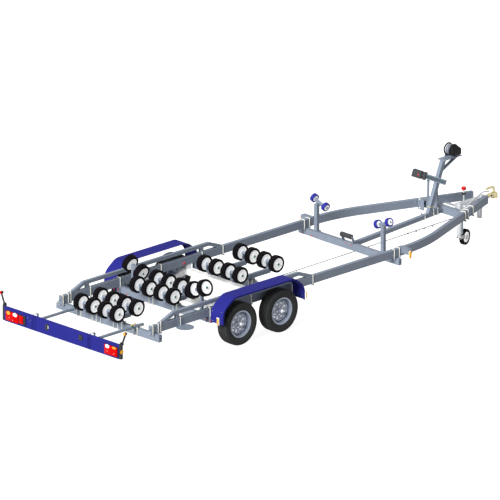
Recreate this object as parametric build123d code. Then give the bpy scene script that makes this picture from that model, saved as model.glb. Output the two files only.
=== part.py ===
"""Tandem-axle roller boat trailer, standing on its wheels and its jockey wheel.

Millimetres. +X runs forward to the coupling, +Y to the left, +Z up from the floor.
Stations are measured from the middle between the two axles, and at() moves them to
the origin, which is below the middle of the trailer's length.
"""
from build123d import *
import math
import os

# ---------------------------------------------------------------- overall reach
board_rear = -2735.0        # rear face of the light board
nose_front = 5690.0         # front of the coupling head
lamp_thickness = 28.0       # tail lamps stand behind the board
origin_station = (board_rear - lamp_thickness + nose_front) / 2


def at(station):
    return station - origin_station


SEAT = 0.3                  # gap between pieces that touch on curved or moving faces
PIN_FIT = 0.05              # radial running clearance of a pin or shaft in its hole

# ---------------------------------------------------------------- main rails
rail_height = 120.0
rail_width = 60.0
rail_wall = 4.0
rail_corner = 7.0
rail_top = 583.0
rail_offset = 895.5         # rail centre from the middle of the trailer
rail_rear = -1905.0
rail_bend_start = 2950.0
rail_bend_radius = 2340.0
rail_bend_angle = 21.1
rail_front = 5352.0
rail_bottom = rail_top - rail_height
rail_mid = rail_top - rail_height / 2
rail_inner = rail_offset - rail_width / 2
rail_outer = rail_offset + rail_width / 2
bend_end_x = rail_bend_start + rail_bend_radius * math.sin(math.radians(rail_bend_angle))
bend_end_y = rail_offset - rail_bend_radius * (1 - math.cos(math.radians(rail_bend_angle)))
drawbar_slope = math.tan(math.radians(rail_bend_angle))


def drawbar_y(station):
    """Rail centre on the converging drawbar, left side."""
    return bend_end_y - (station - bend_end_x) * drawbar_slope


# ---------------------------------------------------------------- truss above the rails
truss_size = 50.0
truss_top = 693.0
truss_rear_foot = -1750.0
truss_rear_kink = -1470.0
truss_front_kink = 940.0
truss_front_foot = 1220.0
truss_posts = [-1395.0, 800.0]

# ---------------------------------------------------------------- crossmembers
cross_depth = 60.0
cross_height = 100.0
cross_wall = 4.0
cross_top = rail_bottom
end_depth = cross_depth - 2 * cross_wall
end_height = cross_height - 2 * cross_wall
saddle_length = 90.0
cross_rear = -1830.0
cross_second = -760.0
cross_third = 690.0
cross_front = 2815.0
# columns: station, half length, half length of the outer sleeve (None: one tube)
cross_table = [
    (cross_rear, 1025.0, None),
    (cross_second, 940.0, 632.0),
    (cross_third, 930.0, 632.0),
    (cross_front, 1002.0, 634.0),
]
bracket_plate = 6.0
bracket_rise = 57.0         # bracket plate on the second crossmember, above the rail's underside

# ---------------------------------------------------------------- drawbar crossmember, spine
drawbar_cross_x = 4630.0
drawbar_plate = 8.0
drawbar_plate_back = 125.0  # end plates reach behind the crossmember's middle
drawbar_plate_left = 125.0  # and ahead of it, on the left
drawbar_plate_right = 36.0  # and on the right, where the jockey clamp starts
bracket_x = drawbar_cross_x - 83.0
bracket_thick = 8.0
bracket_reach = 118.0       # how far the left bracket's upright plate reaches inboard
bracket_above = 22.0        # past the rail's top and underside
spine_size = 60.0
spine_rise = 0.057          # climb per length
spine_rear = cross_front + cross_depth / 2
spine_rear_bottom = 383.0

# ---------------------------------------------------------------- wheels and axles
axle_spacing = 790.0
track_half = 1060.0
tyre_radius = 307.5
tyre_width = 185.0
rim_flange_radius = 192.5
rim_seat_radius = 178.0
rim_width = 140.0
rim_wall = 5.0
disc_thickness = 8.0
disc_offset = 22.0          # disc face outboard of the wheel's middle
hub_radius = 45.0
hub_bore = 15.0
hub_inner_end = 58.0        # hub's inner end, inboard of the wheel's middle
hub_cap_end = 55.0
slot_count = 10
slot_ring = 128.0
slot_length = 42.0
slot_width = 20.0
stud_ring = 56.0
stud_count = 5
beam_size = 80.0
beam_lead = 150.0           # axle beam ahead of the wheel axis
beam_lift = 50.0            # axle beam above the wheel axis
arm_width = 30.0
arm_gap = 12.0              # arm to tyre
arm_height = 60.0
axle_stations = [-axle_spacing / 2, axle_spacing / 2]

# ---------------------------------------------------------------- mudguards
guard_inner = 945.0
guard_outer = 1185.0
guard_sheet = 3.0
guard_lip = 25.0
guard_radius = 190.0
guard_bottom = 393.0
guard_shoulder = 590.0
guard_top = 750.0
guard_half = 790.0
guard_top_rear = -570.0
guard_top_front = 600.0
stay_size = 30.0
stay_plate = 6.0
stay_rise = 105.0           # its upright tab beside the rail
# columns: rear face and underside of each mudguard stay
stay_table = [(-guard_half + guard_sheet, cross_top + SEAT), (guard_half, 433.0)]
guard_lamp_low = 405.0
guard_lamp_high = 512.0
# round step plates outside the rails
step_station = -1360.0
step_radius = 125.0
step_y = 1025.0
step_height = 465.0
step_thick = 6.0
# brackets for the front side markers
marker_station = 2937.0
marker_half = 40.0
marker_reach = 1070.0
marker_sheet = 5.0
marker_drop = 75.0
marker_lamp_low = 455.0
marker_lamp_high = 567.0
vent_radius = 12.0          # vent holes in the end plates of the galvanised tubes

# ---------------------------------------------------------------- keel rollers on rockers
roller_radius = 120.0
roller_width = 85.0
roller_rim_radius = 92.0    # where the tyre meets the hub
roller_dish = 9.0           # how deep the hub face lies inside the tyre
roller_hub_radius = 30.0
roller_spread = 238.0       # roller pitch along one axle
roller_height = 655.0
axle_pin = 12.0
rocker_offset = 238.0
rocker_width = 40.0
rocker_beam_low = 503.0
rocker_beam_high = 570.0
rocker_stem = 44.0
rocker_eye = 26.0
pivot_height = 492.0
pivot_radius = 8.0
pivot_lug = 20.0
ear_plate = 6.0
ear_width = 70.0
bracket_base = 6.0
# columns: name, station of the pivot, half of the axle pitch
rocker_table = [
    ("rear", cross_rear, 185.0),
    ("middle", cross_second, 185.0),
    ("front", cross_third, 347.5),
]

# ---------------------------------------------------------------- side bogies and guide rollers
bogie_middle = 632.0        # pair's middle from the trailer's middle
bogie_height = 775.0
bogie_tilt = 20.0
bogie_pitch = 237.0
bogie_post_x = 48.0
bogie_station = cross_second + end_depth / 2 + bogie_post_x / 2
bogie_post_y = 40.0
bogie_post_offset = 680.0
guide_station = 2850.0
guide_middle = 632.0
guide_height = 885.0
guide_tilt = 20.0
guide_pitch = 236.0
guide_radius = 63.0
guide_width = 56.0
guide_rim_radius = 48.0
guide_dish = 6.0
guide_hub_radius = 20.0
guide_pin = 10.0
guide_post_x = 48.0
guide_post_y = 60.0
guide_post_offset = 663.0

# ---------------------------------------------------------------- keel roller at the front
keel_station = cross_front - 68.0
keel_height = 577.0
keel_radius = 35.0
keel_length = 204.0
keel_pin = 8.0
keel_ear_half = 13.0
keel_ear_plate = 6.0

# ---------------------------------------------------------------- light board
board_half = 1140.0
board_low = 361.0
board_high = 577.0
board_depth = 22.0
board_sheet = 4.0
cap_end = 1180.0
cap_depth = 40.0
stalk_radius = 13.5
stalk_base_y = 1196.0
stalk_top_y = 1232.0
stalk_top = 726.0
stalk_boss = 26.0
lens_radius = 22.0
lens_thick = 9.0
boss_half = 14.0
stalk_x = board_rear + cap_depth - 6
tube_offset = 567.0
tube_radius = 21.0
tube_front = -1722.0
holder_wall = 5.0
lamp_low = 390.0
lamp_high = 530.0
slot_inner = 261.0          # see-through slot in the board
slot_outer = 325.0
slot_low = 430.0
slot_high = 517.0
# columns: name, y of one edge, y of the other edge
lamp_table = [
    ("left", 838.0, 1095.0),
    ("square", 713.0, 832.0),
    ("right", -1130.0, -871.0),
]

# ---------------------------------------------------------------- winch post and bow stop
post_foot = drawbar_cross_x - 276.0
post_lean = 21.4
post_size = 60.0
post_top = 1242.0
winch_x = post_foot + 454.0
winch_height = post_top + 109.0
winch_plate_rear = winch_x - 198.0
winch_plate_front = winch_x + 147.0
winch_plate_half = 55.0
winch_plate_thick = 8.0
winch_lip = 14.0            # turned-down rear edge of the plate
winch_flange = 92.0
winch_flange_thick = 5.0
winch_core = 68.0           # drum with its strap wound on
winch_left = 76.0
winch_right = -36.0
winch_shaft = 10.0
cheek_plate = 6.0
cheek_half = 70.0
cheek_top_half = 26.0
plate_brace_low = 1078.0    # where the plate's brace leaves the post
plate_brace_width = 40.0
cover_right = -106.0
cover_rear = winch_x - 80.0
cover_front = winch_x + 80.0
cover_lift = 45.0           # gear cover above the plate
cover_side = 90.0           # height of the cover's right side
cover_rise = 66.0           # crown of the cover above its right side
bow_height = 988.0
bow_section = 60.0
bow_channel = 26.0
bow_wall = 5.0
bow_left = 185.0
bow_right = -200.0
collar_outer = 241.0        # outer side of the rubber collar beside the pad
pad_inner = 266.0
pad_outer = 443.0
pad_height = 96.0
pad_depth = 40.0
stay_width = 40.0
stay_thick = 6.0
bow_stay_top = 150.0        # side of the bow stop's stay, at its top and at its foot
bow_stay_foot = 265.0
post_stay_top = 8.0
post_stay_foot = 80.0
post_stay_height = 880.0
stay_foot_low = 500.0

# ---------------------------------------------------------------- jockey wheel
jockey_x = 4702.0
jockey_y = -262.0
jockey_turn = 16.0          # the wheel stands swivelled to the left
jockey_tube = 26.0
jockey_tube_wall = 3.0
jockey_tube_low = 176.0
jockey_tube_high = 652.0
jockey_leg_radius = jockey_tube - jockey_tube_wall - PIN_FIT
jockey_leg_length = 300.0
jockey_wheel_radius = 112.0
jockey_wheel_width = 60.0
jockey_trail = 148.0
jockey_hub = 50.0
jockey_rim = 74.0
jockey_pin = 8.0
fork_plate = 5.0
fork_gap = 2.0              # each side of the wheel
fork_rear = 28.0
crank_reach = 82.0
fork_top = jockey_tube_low - 16

# ---------------------------------------------------------------- drawbar housing and coupling
housing_rear = 4900.0
housing_front = 5420.0
housing_height = 497.0
housing_radius = 45.0
housing_collar = 60.0       # thicker front end
housing_plate = 8.0
housing_plates = [(4920.0, 4980.0), (5250.0, 5290.0)]
coupling_rear = housing_front
coupling_height = housing_height
coupling_tube = 30.0
coupling_body = 110.0       # pressed body behind the cup
cup_radius = 47.0
ball_bore = 25.2
ball_x = nose_front - cup_radius
ball_height = 470.0
handle_top = 626.0
handle_half = 14.0
handle_thick = 22.0
handle_reach = 160.0
lever_y = -100.0
lever_radius = 10.0
# columns: distance ahead of the housing's rear end, height
lever_route = [(90.0, 500.0), (377.0, 619.0), (428.0, 632.0), (540.0, 612.0)]
skid_x = housing_rear + 430.0
skid_depth = 40.0
skid_sheet = 6.0
skid_top = 48.0
skid_foot = 28.0
skid_low = 218.0

# ---------------------------------------------------------------- brake rod
rod_radius = 5.0
rod_y = -100.0
rod_rear = axle_stations[1] + beam_lead + beam_size / 2 + SEAT
link_rear = 4885.0
rod_front = link_rear - SEAT
# columns: station, height
rod_route = [(rod_rear, 331.0), (2700.0, 350.0), (4000.0, 370.0), (rod_front, 384.0)]
rod_bend = 4000.0


# ================================================================ helpers
def block(x0, x1, y0, y1, z0, z1):
    """Box between two stations, two sides and two heights."""
    return Pos((at(x0) + at(x1)) / 2, (y0 + y1) / 2, (z0 + z1) / 2) * Box(
        abs(x1 - x0), abs(y1 - y0), abs(z1 - z0))


def rod_along_y(x, y0, y1, z, radius):
    return Pos(at(x), (y0 + y1) / 2, z) * Rot(90, 0, 0) * Cylinder(radius, abs(y1 - y0))


def rod_along_x(x0, x1, y, z, radius):
    return Pos((at(x0) + at(x1)) / 2, y, z) * Rot(0, 90, 0) * Cylinder(radius, abs(x1 - x0))


def rod_along_z(x, y, z0, z1, radius):
    return Pos(at(x), y, (z0 + z1) / 2) * Cylinder(radius, z1 - z0)


def side_plane(y):
    """Plane whose first axis is station and whose second is height, facing right (-Y)."""
    return Plane(origin=(-origin_station, y, 0), x_dir=(1, 0, 0), z_dir=(0, -1, 0))


def side_profile(sketch, y0, y1):
    """Extrude a (station, height) sketch between two sides."""
    return extrude(side_plane(max(y0, y1)) * sketch, amount=abs(y1 - y0))


def side_polygon(points, y0, y1, radius=0):
    face = make_face(Polyline(*points, close=True))
    if radius:
        face = fillet(face.vertices(), radius)
    return side_profile(face, y0, y1)


def mirrored(shape):
    return mirror(shape, about=Plane.XZ)


def both_sides(shape):
    return [shape, mirrored(shape)]


def ring(x, y0, y1, z, outer, inner):
    """Tube along Y."""
    return rod_along_y(x, y0, y1, z, outer) - rod_along_y(x, y0, y1, z, inner)


def save(name, shapes):
    if not isinstance(shapes, (list, tuple)):
        shapes = [shapes]
    solids = []
    for shape in shapes:
        solids.extend(shape.solids())
    export_step(Compound(children=solids) if len(solids) > 1 else solids[0], f"parts/{name}.step")


# ================================================================ frame
def rail():
    """Left rail: straight, one bend, then straight to the drawbar's nose."""
    start = (at(rail_rear), rail_offset)
    bend = (at(rail_bend_start), rail_offset)
    line = Line(start, bend)
    arc = CenterArc((bend[0], rail_offset - rail_bend_radius), rail_bend_radius, 90,
                    -rail_bend_angle)
    nose = Line(arc @ 1, (at(rail_front), drawbar_y(rail_front)))
    path = Pos(0, 0, rail_mid) * Wire([line, arc, nose])
    section = Plane(origin=(start[0], rail_offset, rail_mid), x_dir=(0, 1, 0), z_dir=(1, 0, 0))
    bore = Rectangle(rail_width - 2 * rail_wall, rail_height - 2 * rail_wall)
    profile = RectangleRounded(rail_width, rail_height, rail_corner) - bore
    tube = sweep(section * profile, path=path)
    plate = bore - Circle(vent_radius)
    nose_end = Plane(origin=path @ 1, x_dir=(path % 1).cross(Vector(0, 0, 1)), z_dir=-(path % 1))
    return tube + extrude(section * plate, amount=rail_wall) + extrude(
        nose_end * plate, amount=rail_wall)


def truss():
    """Left upper tube on its posts, cut flat where its ends meet the rail."""
    run = truss_top - rail_top
    rear_slope = run / (truss_rear_kink - truss_rear_foot)
    front_slope = run / (truss_front_foot - truss_front_kink)
    rear_cut = truss_size * math.sqrt(1 + 1 / rear_slope**2)
    front_cut = truss_size * math.sqrt(1 + 1 / front_slope**2)
    under = truss_top - truss_size
    rear_under = truss_rear_foot + rear_cut + (under - rail_top) / rear_slope
    front_under = truss_front_foot - front_cut - (under - rail_top) / front_slope
    points = [
        (truss_rear_foot, rail_top), (truss_rear_kink, truss_top), (truss_front_kink, truss_top),
        (truss_front_foot, rail_top), (truss_front_foot - front_cut, rail_top),
        (front_under, under), (rear_under, under), (truss_rear_foot + rear_cut, rail_top),
    ]
    y0, y1 = rail_offset - truss_size / 2, rail_offset + truss_size / 2
    tube = side_polygon(points, y0, y1)
    for station in truss_posts:
        tube += block(station - truss_size / 2, station + truss_size / 2, y0, y1, rail_top, under)
    return tube


def box_tube(x, depth, half, low, high, wall, plate=0.0):
    """Tube across the trailer; a plate closes each end but for its vent hole."""
    outer = block(x - depth / 2, x + depth / 2, -half, half, low, high)
    tube = outer - block(x - depth / 2 + wall, x + depth / 2 - wall, -half + plate, half - plate,
                         low + wall, high - wall)
    if plate:
        tube -= rod_along_y(x, -half - 1, half + 1, (low + high) / 2, vent_radius)
    return tube


def crossmember(station, half, sleeve):
    low = cross_top - cross_height
    if sleeve is None:
        return box_tube(station, cross_depth, half, low, cross_top, cross_wall, cross_wall)
    middle = (low + cross_top) / 2
    inner_low, inner_high = middle - end_height / 2, middle + end_height / 2
    tube = box_tube(station, cross_depth, sleeve, low, cross_top, cross_wall)
    ends = box_tube(station, end_depth, half, inner_low, inner_high, cross_wall, cross_wall)
    tube = tube + ends
    for side in (1, -1):
        tube += block(station - saddle_length / 2, station + saddle_length / 2,
                      side * rail_inner, side * rail_outer, inner_high, cross_top)
        if station == cross_second:
            tube += block(station - saddle_length / 2, station + saddle_length / 2,
                          side * (rail_inner - bracket_plate), side * rail_inner,
                          inner_low, rail_bottom + bracket_rise)
    return tube


def drawbar_cross():
    """Crossmember between the converging rails, with a bolted plate at each end."""
    rear, front = drawbar_cross_x - cross_depth / 2, drawbar_cross_x + cross_depth / 2
    half_width = rail_width / 2 / math.cos(math.radians(rail_bend_angle))

    def inner(station, inset=0.0):
        return drawbar_y(station) - half_width - inset

    plate_rear = drawbar_cross_x - drawbar_plate_back
    low, high = rail_bottom + 4, rail_top - 4
    gap = drawbar_plate / math.cos(math.radians(rail_bend_angle))
    beam = make_face(Polyline(
        (at(rear), inner(rear)), (at(front), inner(front)),
        (at(front), -inner(front)), (at(rear), -inner(rear)), close=True))
    solid = extrude(Pos(0, 0, low) * beam, amount=high - low)
    for side, reach in ((1, drawbar_plate_left), (-1, drawbar_plate_right)):
        plate_front = drawbar_cross_x + reach
        plate = make_face(Polyline(
            (at(plate_rear), side * inner(plate_rear)), (at(plate_front), side * inner(plate_front)),
            (at(plate_front), side * inner(plate_front, gap)),
            (at(plate_rear), side * inner(plate_rear, gap)), close=True))
        solid += extrude(Pos(0, 0, low) * plate, amount=high - low)
    side = inner(bracket_x + bracket_thick)
    solid += block(bracket_x, bracket_x + bracket_thick, side - bracket_reach, side,
                   rail_bottom - bracket_above, rail_top + bracket_above)
    solid += block(bracket_x, rear + 1, side - bracket_reach, side - 40, high - drawbar_plate, high)
    return solid


def spine_top(station):
    return spine_rear_bottom + spine_size + (station - spine_rear) * spine_rise


def spine():
    rear, front = spine_rear, drawbar_cross_x - cross_depth / 2
    points = [(rear, spine_top(rear)), (front, spine_top(front)),
              (front, spine_top(front) - spine_size), (rear, spine_top(rear) - spine_size)]
    return side_polygon(points, -spine_size / 2, spine_size / 2)


# ================================================================ running gear
def axle(station):
    """Beam, hanging plates, trailing arms and stub axles of one axle."""
    beam_x = station + beam_lead
    beam_z = tyre_radius + beam_lift
    arm_outer = track_half - tyre_width / 2 - arm_gap
    arm_inner = arm_outer - arm_width
    half = beam_size / 2
    solid = block(beam_x - half, beam_x + half, -arm_inner, arm_inner, beam_z - half, beam_z + half)
    for side in (1, -1):
        solid += block(beam_x - half, beam_x + half, side * rail_inner,
                       side * min(rail_outer, arm_inner), beam_z + half, rail_bottom)
        arm = make_face(Polyline(
            (beam_x + half, beam_z + half), (beam_x - half, beam_z + half),
            (station - arm_height / 2, tyre_radius + arm_height / 2),
            (station - arm_height / 2, tyre_radius - arm_height / 2),
            (station + arm_height / 2, tyre_radius - arm_height / 2),
            (beam_x + half, beam_z - half), close=True))
        solid += side_profile(fillet(arm.vertices(), arm_height / 4), side * arm_inner,
                              side * arm_outer)
        solid += rod_along_y(station, side * arm_outer, side * (track_half + disc_offset), tyre_radius,
                             hub_bore - PIN_FIT)
    return solid


def revolved_wheel(points, station, side):
    """Revolve (radius, outboard) points about a wheel axis on one side."""
    profile = make_face(Polyline(*points, close=True))
    plane = Plane(origin=(at(station), side * track_half, tyre_radius), x_dir=(1, 0, 0),
                  z_dir=(0, 0, side))
    axis = Axis((at(station), side * track_half, tyre_radius), (0, 1, 0))
    return revolve(plane * profile, axis)


def tyre(station, side):
    half = tyre_width / 2
    bead = rim_width / 2
    points = [
        (rim_seat_radius + SEAT, -bead + SEAT), (rim_flange_radius, -bead + SEAT),
        (rim_flange_radius + 22, -half + 4), (tyre_radius - 50, -half), (tyre_radius - 18, -half + 10),
        (tyre_radius - 3, -half + 24), (tyre_radius, 0), (tyre_radius - 3, half - 24),
        (tyre_radius - 18, half - 10), (tyre_radius - 50, half), (rim_flange_radius + 22, half - 4),
        (rim_flange_radius, bead - SEAT), (rim_seat_radius + SEAT, bead - SEAT),
    ]
    return revolved_wheel(points, station, side)


def rim(station, side):
    """Pressed steel rim with its slotted disc, hub and grease cap."""
    bead = rim_width / 2
    flange = 6.0
    seat = rim_seat_radius
    points = [
        (hub_bore, -hub_inner_end), (hub_radius, -hub_inner_end), (hub_radius, disc_offset - 8),
        (70, disc_offset - 8), (100, disc_offset - 16), (seat - 36, disc_offset + 4),
        (seat - rim_wall, disc_offset - 24), (seat - rim_wall, -bead - 1),
        (rim_flange_radius, -bead - flange), (rim_flange_radius, -bead),
        (seat, -bead), (seat, bead), (rim_flange_radius, bead),
        (rim_flange_radius, bead + flange), (seat - rim_wall, bead + 1),
        (seat - rim_wall, disc_offset - 12),
        (seat - 36, disc_offset + 4 + disc_thickness), (100, disc_offset - 16 + disc_thickness),
        (70, disc_offset), (32, disc_offset), (32, hub_cap_end - 6), (26, hub_cap_end),
        (0, hub_cap_end), (0, hub_cap_end - 10), (hub_bore, hub_cap_end - 10),
    ]
    solid = revolved_wheel(points, station, side)
    centre = Pos(at(station), side * track_half, tyre_radius) * Rot(-90 * side, 0, 0)
    slots = PolarLocations(slot_ring, slot_count)
    cutter = extrude(SlotOverall(slot_length, slot_width), amount=4 * disc_thickness, both=True)
    for place in slots:
        solid -= centre * Pos(0, 0, disc_offset) * place * Rot(0, 0, 90) * cutter
    return solid


def mudguard():
    """Left tandem mudguard: a bent sheet with an outer lip."""
    outline = Polyline(
        (-guard_half, guard_bottom), (-guard_half, guard_shoulder), (guard_top_rear, guard_top),
        (guard_top_front, guard_top), (guard_half, guard_shoulder), (guard_half, guard_bottom),
        close=True)
    face = make_face(outline)
    rounded = [v for v in face.vertices() if v.Y > guard_bottom + 1]
    outer = fillet(rounded, guard_radius)

    def inset(amount):
        shrunk = offset(outer, -amount)
        bottom = Pos(0, guard_bottom) * Rectangle(2 * (guard_half - amount), 4 * guard_lip)
        return shrunk + bottom

    sheet = side_profile(outer - inset(guard_sheet), guard_inner, guard_outer)
    lip = side_profile(outer - inset(guard_lip), guard_outer - guard_sheet, guard_outer)
    return sheet + lip


# ================================================================ brackets on the rails
def rail_brackets():
    """Mudguard stays, step plates and side-marker brackets, left and right."""
    pieces = []
    for side in (1, -1):
        for x, low in stay_table:
            bar = block(x, x + stay_plate, side * rail_outer, side * (guard_outer - 40), low,
                        low + stay_size)
            tab = block(x, x + stay_plate, side * rail_outer, side * (guard_inner - 1), low,
                        low + stay_rise)
            pieces.append(bar + tab)
        pieces.append(step_plate(side))
        pieces.append(marker_bracket(side))
    return pieces


def step_plate(side):
    """Round tread plate on a bracket outside the rail."""
    disc = rod_along_z(step_station, side * step_y, step_height, step_height + step_thick, step_radius)
    disc -= block(step_station - step_radius, step_station + step_radius, side * 800,
                  side * (rail_outer + step_thick), step_height - 1, step_height + step_thick + 1)
    upright = block(step_station - 40, step_station + 40, side * rail_outer,
                    side * (rail_outer + step_thick), step_height, rail_top - 10)
    return disc + upright


def marker_bracket(side):
    """Angle on the rail top that reaches outboard, its flange turned down at the rear."""
    rear = marker_station - marker_half
    flat = block(rear, marker_station + marker_half, side * (rail_inner - 5), side * marker_reach,
                 rail_top, rail_top + marker_sheet)
    flange = block(rear, rear + marker_sheet, side * (rail_outer + SEAT), side * marker_reach,
                   rail_top + marker_sheet - marker_drop, rail_top + marker_sheet)
    end = block(rear, marker_station + marker_half, side * (marker_reach - marker_sheet),
                side * marker_reach, rail_top + marker_sheet - marker_drop,
                rail_top + marker_sheet)
    return flat + flange + end


def marker_lamps():
    """Amber side lamps on the mudguards and on the front brackets."""
    pieces = []
    for side in (1, -1):
        pieces.append(block(-guard_half - 16, -guard_half - SEAT, side * 1072, side * 1108, 400, 480))
        pieces.append(block(guard_half + SEAT, guard_half + 28, side * (guard_outer - 30),
                            side * (guard_outer + 18), guard_lamp_low, guard_lamp_high))
        pieces.append(block(marker_station - 26, marker_station + 12, side * (marker_reach + SEAT),
                            side * (marker_reach + 24), marker_lamp_low, marker_lamp_high))
    return pieces


# ================================================================ rollers and rockers
def roller_profile(radius, width, rim_radius, dish, hub_radius, bore):
    """Half section of a roller as (radius, along the axle) points."""
    half = width / 2
    shoulder = min(10.0, width / 5)
    return [
        (bore, -half), (hub_radius, -half), (hub_radius, -half + dish), (rim_radius, -half + dish),
        (rim_radius, -half), (radius - shoulder, -half), (radius, -half + shoulder),
        (radius, half - shoulder), (radius - shoulder, half), (rim_radius, half),
        (rim_radius, half - dish), (hub_radius, half - dish), (hub_radius, half), (bore, half),
    ]


def roller_pair(x, middle, z, tilt, pitch, radius, width, rim_radius, dish, hub_radius, pin):
    """Two rollers on one axle whose outboard end is raised by tilt."""
    profile = make_face(Polyline(*roller_profile(radius, width, rim_radius, dish, hub_radius,
                                                 pin + PIN_FIT), close=True))
    face = Plane(origin=(0, 0, 0), x_dir=(1, 0, 0), z_dir=(0, 0, 1)) * profile
    roller = revolve(face, Axis((0, 0, 0), (0, 1, 0)))
    frame = Pos(at(x), middle, z) * Rot(tilt, 0, 0)
    return [frame * Pos(0, place, 0) * roller for place in (-pitch / 2, pitch / 2)]


def rocker_rollers(x, middle):
    return roller_pair(x, middle, roller_height, 0, roller_spread, roller_radius, roller_width,
                       roller_rim_radius, roller_dish, roller_hub_radius, axle_pin)


def rocker(pivot, half_pitch, middle):
    """Rocking beam with an upright at each end and the two roller axles."""
    stem = rocker_stem / 2
    side0, side1 = middle - rocker_width / 2, middle + rocker_width / 2
    beam = [
        (pivot - half_pitch - stem, rocker_beam_high - 20), (pivot - half_pitch - stem, roller_height),
        (pivot - half_pitch + stem, roller_height), (pivot - half_pitch + stem, rocker_beam_high),
        (pivot + half_pitch - stem, rocker_beam_high), (pivot + half_pitch - stem, roller_height),
        (pivot + half_pitch + stem, roller_height), (pivot + half_pitch + stem, rocker_beam_high - 20),
        (pivot + half_pitch - 20, rocker_beam_low), (pivot - half_pitch + 20, rocker_beam_low),
    ]
    solid = side_polygon(beam, side0, side1)
    solid += rod_along_y(pivot, side0, side1, pivot_height, pivot_lug)
    solid += block(pivot - pivot_lug, pivot + pivot_lug, side0, side1, pivot_height,
                   rocker_beam_low + 20)
    for end in (-1, 1):
        x = pivot + end * half_pitch
        reach = roller_spread / 2
        inner_face = reach - roller_width / 2 - SEAT
        outer_end = reach + roller_width / 2 + 10
        solid += rod_along_y(x, side0, side1, roller_height, rocker_eye)
        solid += rod_along_y(x, middle - inner_face, middle + inner_face, roller_height, axle_pin + 8)
        solid += rod_along_y(x, middle - outer_end, middle + outer_end, roller_height, axle_pin)
    solid -= rod_along_y(pivot, side0 - 1, side1 + 1, pivot_height, pivot_radius + PIN_FIT)
    return solid


def pivot_bracket(pivot, middle):
    """Two ears on a base plate, with the pivot pin."""
    base_half = rocker_width / 2 + SEAT + ear_plate
    solid = block(pivot - 50, pivot + 50, middle - base_half - 25, middle + base_half + 25, cross_top,
                  cross_top + bracket_base)
    for side in (-1, 1):
        near = middle + side * (rocker_width / 2 + SEAT)
        far = near + side * ear_plate
        ear = make_face(Polyline(
            (pivot - ear_width / 2, cross_top), (pivot - ear_width / 2 + 12, pivot_height + 22),
            (pivot + ear_width / 2 - 12, pivot_height + 22), (pivot + ear_width / 2, cross_top),
            close=True))
        solid += side_profile(ear, near, far)
    pin_half = base_half + 8
    return solid + rod_along_y(pivot, middle - pin_half, middle + pin_half, pivot_height, pivot_radius)


def keel_bracket():
    """Angle bolted on the front crossmember, with two raked ears for the keel roller."""
    rear = cross_front - cross_depth / 2
    end = keel_length / 2 + SEAT
    far = end + keel_ear_plate
    solid = block(rear - 6, rear, -75, 75, cross_top - 70, cross_top + 6)
    solid += block(rear - 6, rear + 40, -far, far, cross_top, cross_top + 6)
    for side in (-1, 1):
        ear = make_face(Polyline(
            (rear - 6, cross_top), (keel_station - keel_ear_half, keel_height - 4),
            (keel_station - keel_ear_half, keel_height + 12),
            (keel_station + keel_ear_half, keel_height + 12), (rear + 40, cross_top + 6),
            (rear + 40, cross_top), close=True))
        solid += side_profile(ear, side * end, side * far)
    return solid + rod_along_y(keel_station, -far - 8, far + 8, keel_height, keel_pin)


def keel_roller():
    return ring(keel_station, -keel_length / 2, keel_length / 2, keel_height, keel_radius,
                keel_pin + PIN_FIT)


def tube_holder(side):
    """Split block on the rear crossmember that the board's tube slides in."""
    outer = tube_radius + holder_wall
    z = tube_height
    holder = block(cross_rear - 30, cross_rear + 30, side * tube_offset - outer,
                   side * tube_offset + outer, cross_top, z)
    holder += rod_along_x(cross_rear - 30, cross_rear + 30, side * tube_offset, z, outer)
    return holder - rod_along_x(cross_rear - 40, cross_rear + 40, side * tube_offset, z,
                                tube_radius + PIN_FIT)


tube_height = cross_top + tube_radius + holder_wall


def roller_posts():
    """Posts and tilted heads of the side bogies and the front guide rollers, left and right."""
    pieces = []
    for side in (1, -1):
        pieces.append(bogie_post(side))
        pieces.append(guide_post(side))
    return pieces


def tilted_axle(x, middle, z, tilt, reach, pin, collar, collar_reach, side):
    """Axle whose outboard end is raised, with a thicker middle."""
    frame = Pos(at(x), side * middle, z) * Rot(side * tilt, 0, 0) * Rot(90, 0, 0)
    return frame * (Cylinder(pin, 2 * reach) + Cylinder(collar, 2 * collar_reach))


def bogie_post(side):
    head = bogie_height - 4
    post = block(bogie_station - bogie_post_x / 2, bogie_station + bogie_post_x / 2,
                 side * (bogie_post_offset - bogie_post_y / 2),
                 side * (bogie_post_offset + bogie_post_y / 2), cross_top - 80, head)
    gap = bogie_pitch / 2 - roller_width / 2 - SEAT
    arm = Pos(at(bogie_station), side * bogie_middle, bogie_height) * Rot(side * bogie_tilt, 0, 0)
    head_block = arm * Pos(0, side * 22, -10) * Box(bogie_post_x, 70, 60)
    axle_rod = tilted_axle(bogie_station, bogie_middle, bogie_height, bogie_tilt,
                           bogie_pitch / 2 + roller_width / 2 + 10, axle_pin, axle_pin + 8, gap, side)
    return post + head_block + axle_rod


def guide_post(side):
    foot = block(guide_station - 45, guide_station + 45 - 30, side * (guide_post_offset - 50),
                 side * (guide_post_offset + 50), cross_top, cross_top + 6)
    x = cross_front
    post = block(x - guide_post_x / 2, x + guide_post_x / 2,
                 side * (guide_post_offset - guide_post_y / 2),
                 side * (guide_post_offset + guide_post_y / 2), cross_top, guide_height - 20)
    gap = guide_pitch / 2 - guide_width / 2 - SEAT
    arm = Pos(at(guide_station), side * guide_middle, guide_height) * Rot(side * guide_tilt, 0, 0)
    plate = arm * Pos(0, 0, -14) * Box(30, 2 * gap - 20, 44)
    link = block(x - guide_post_x / 2, guide_station + 15, side * (guide_post_offset - 26),
                 side * (guide_post_offset + 10), guide_height - 60, guide_height - 16)
    axle_rod = tilted_axle(guide_station, guide_middle, guide_height, guide_tilt,
                           guide_pitch / 2 + guide_width / 2 + 8, guide_pin, guide_pin + 6, gap,
                           side)
    return foot + post + plate + link + axle_rod


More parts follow.
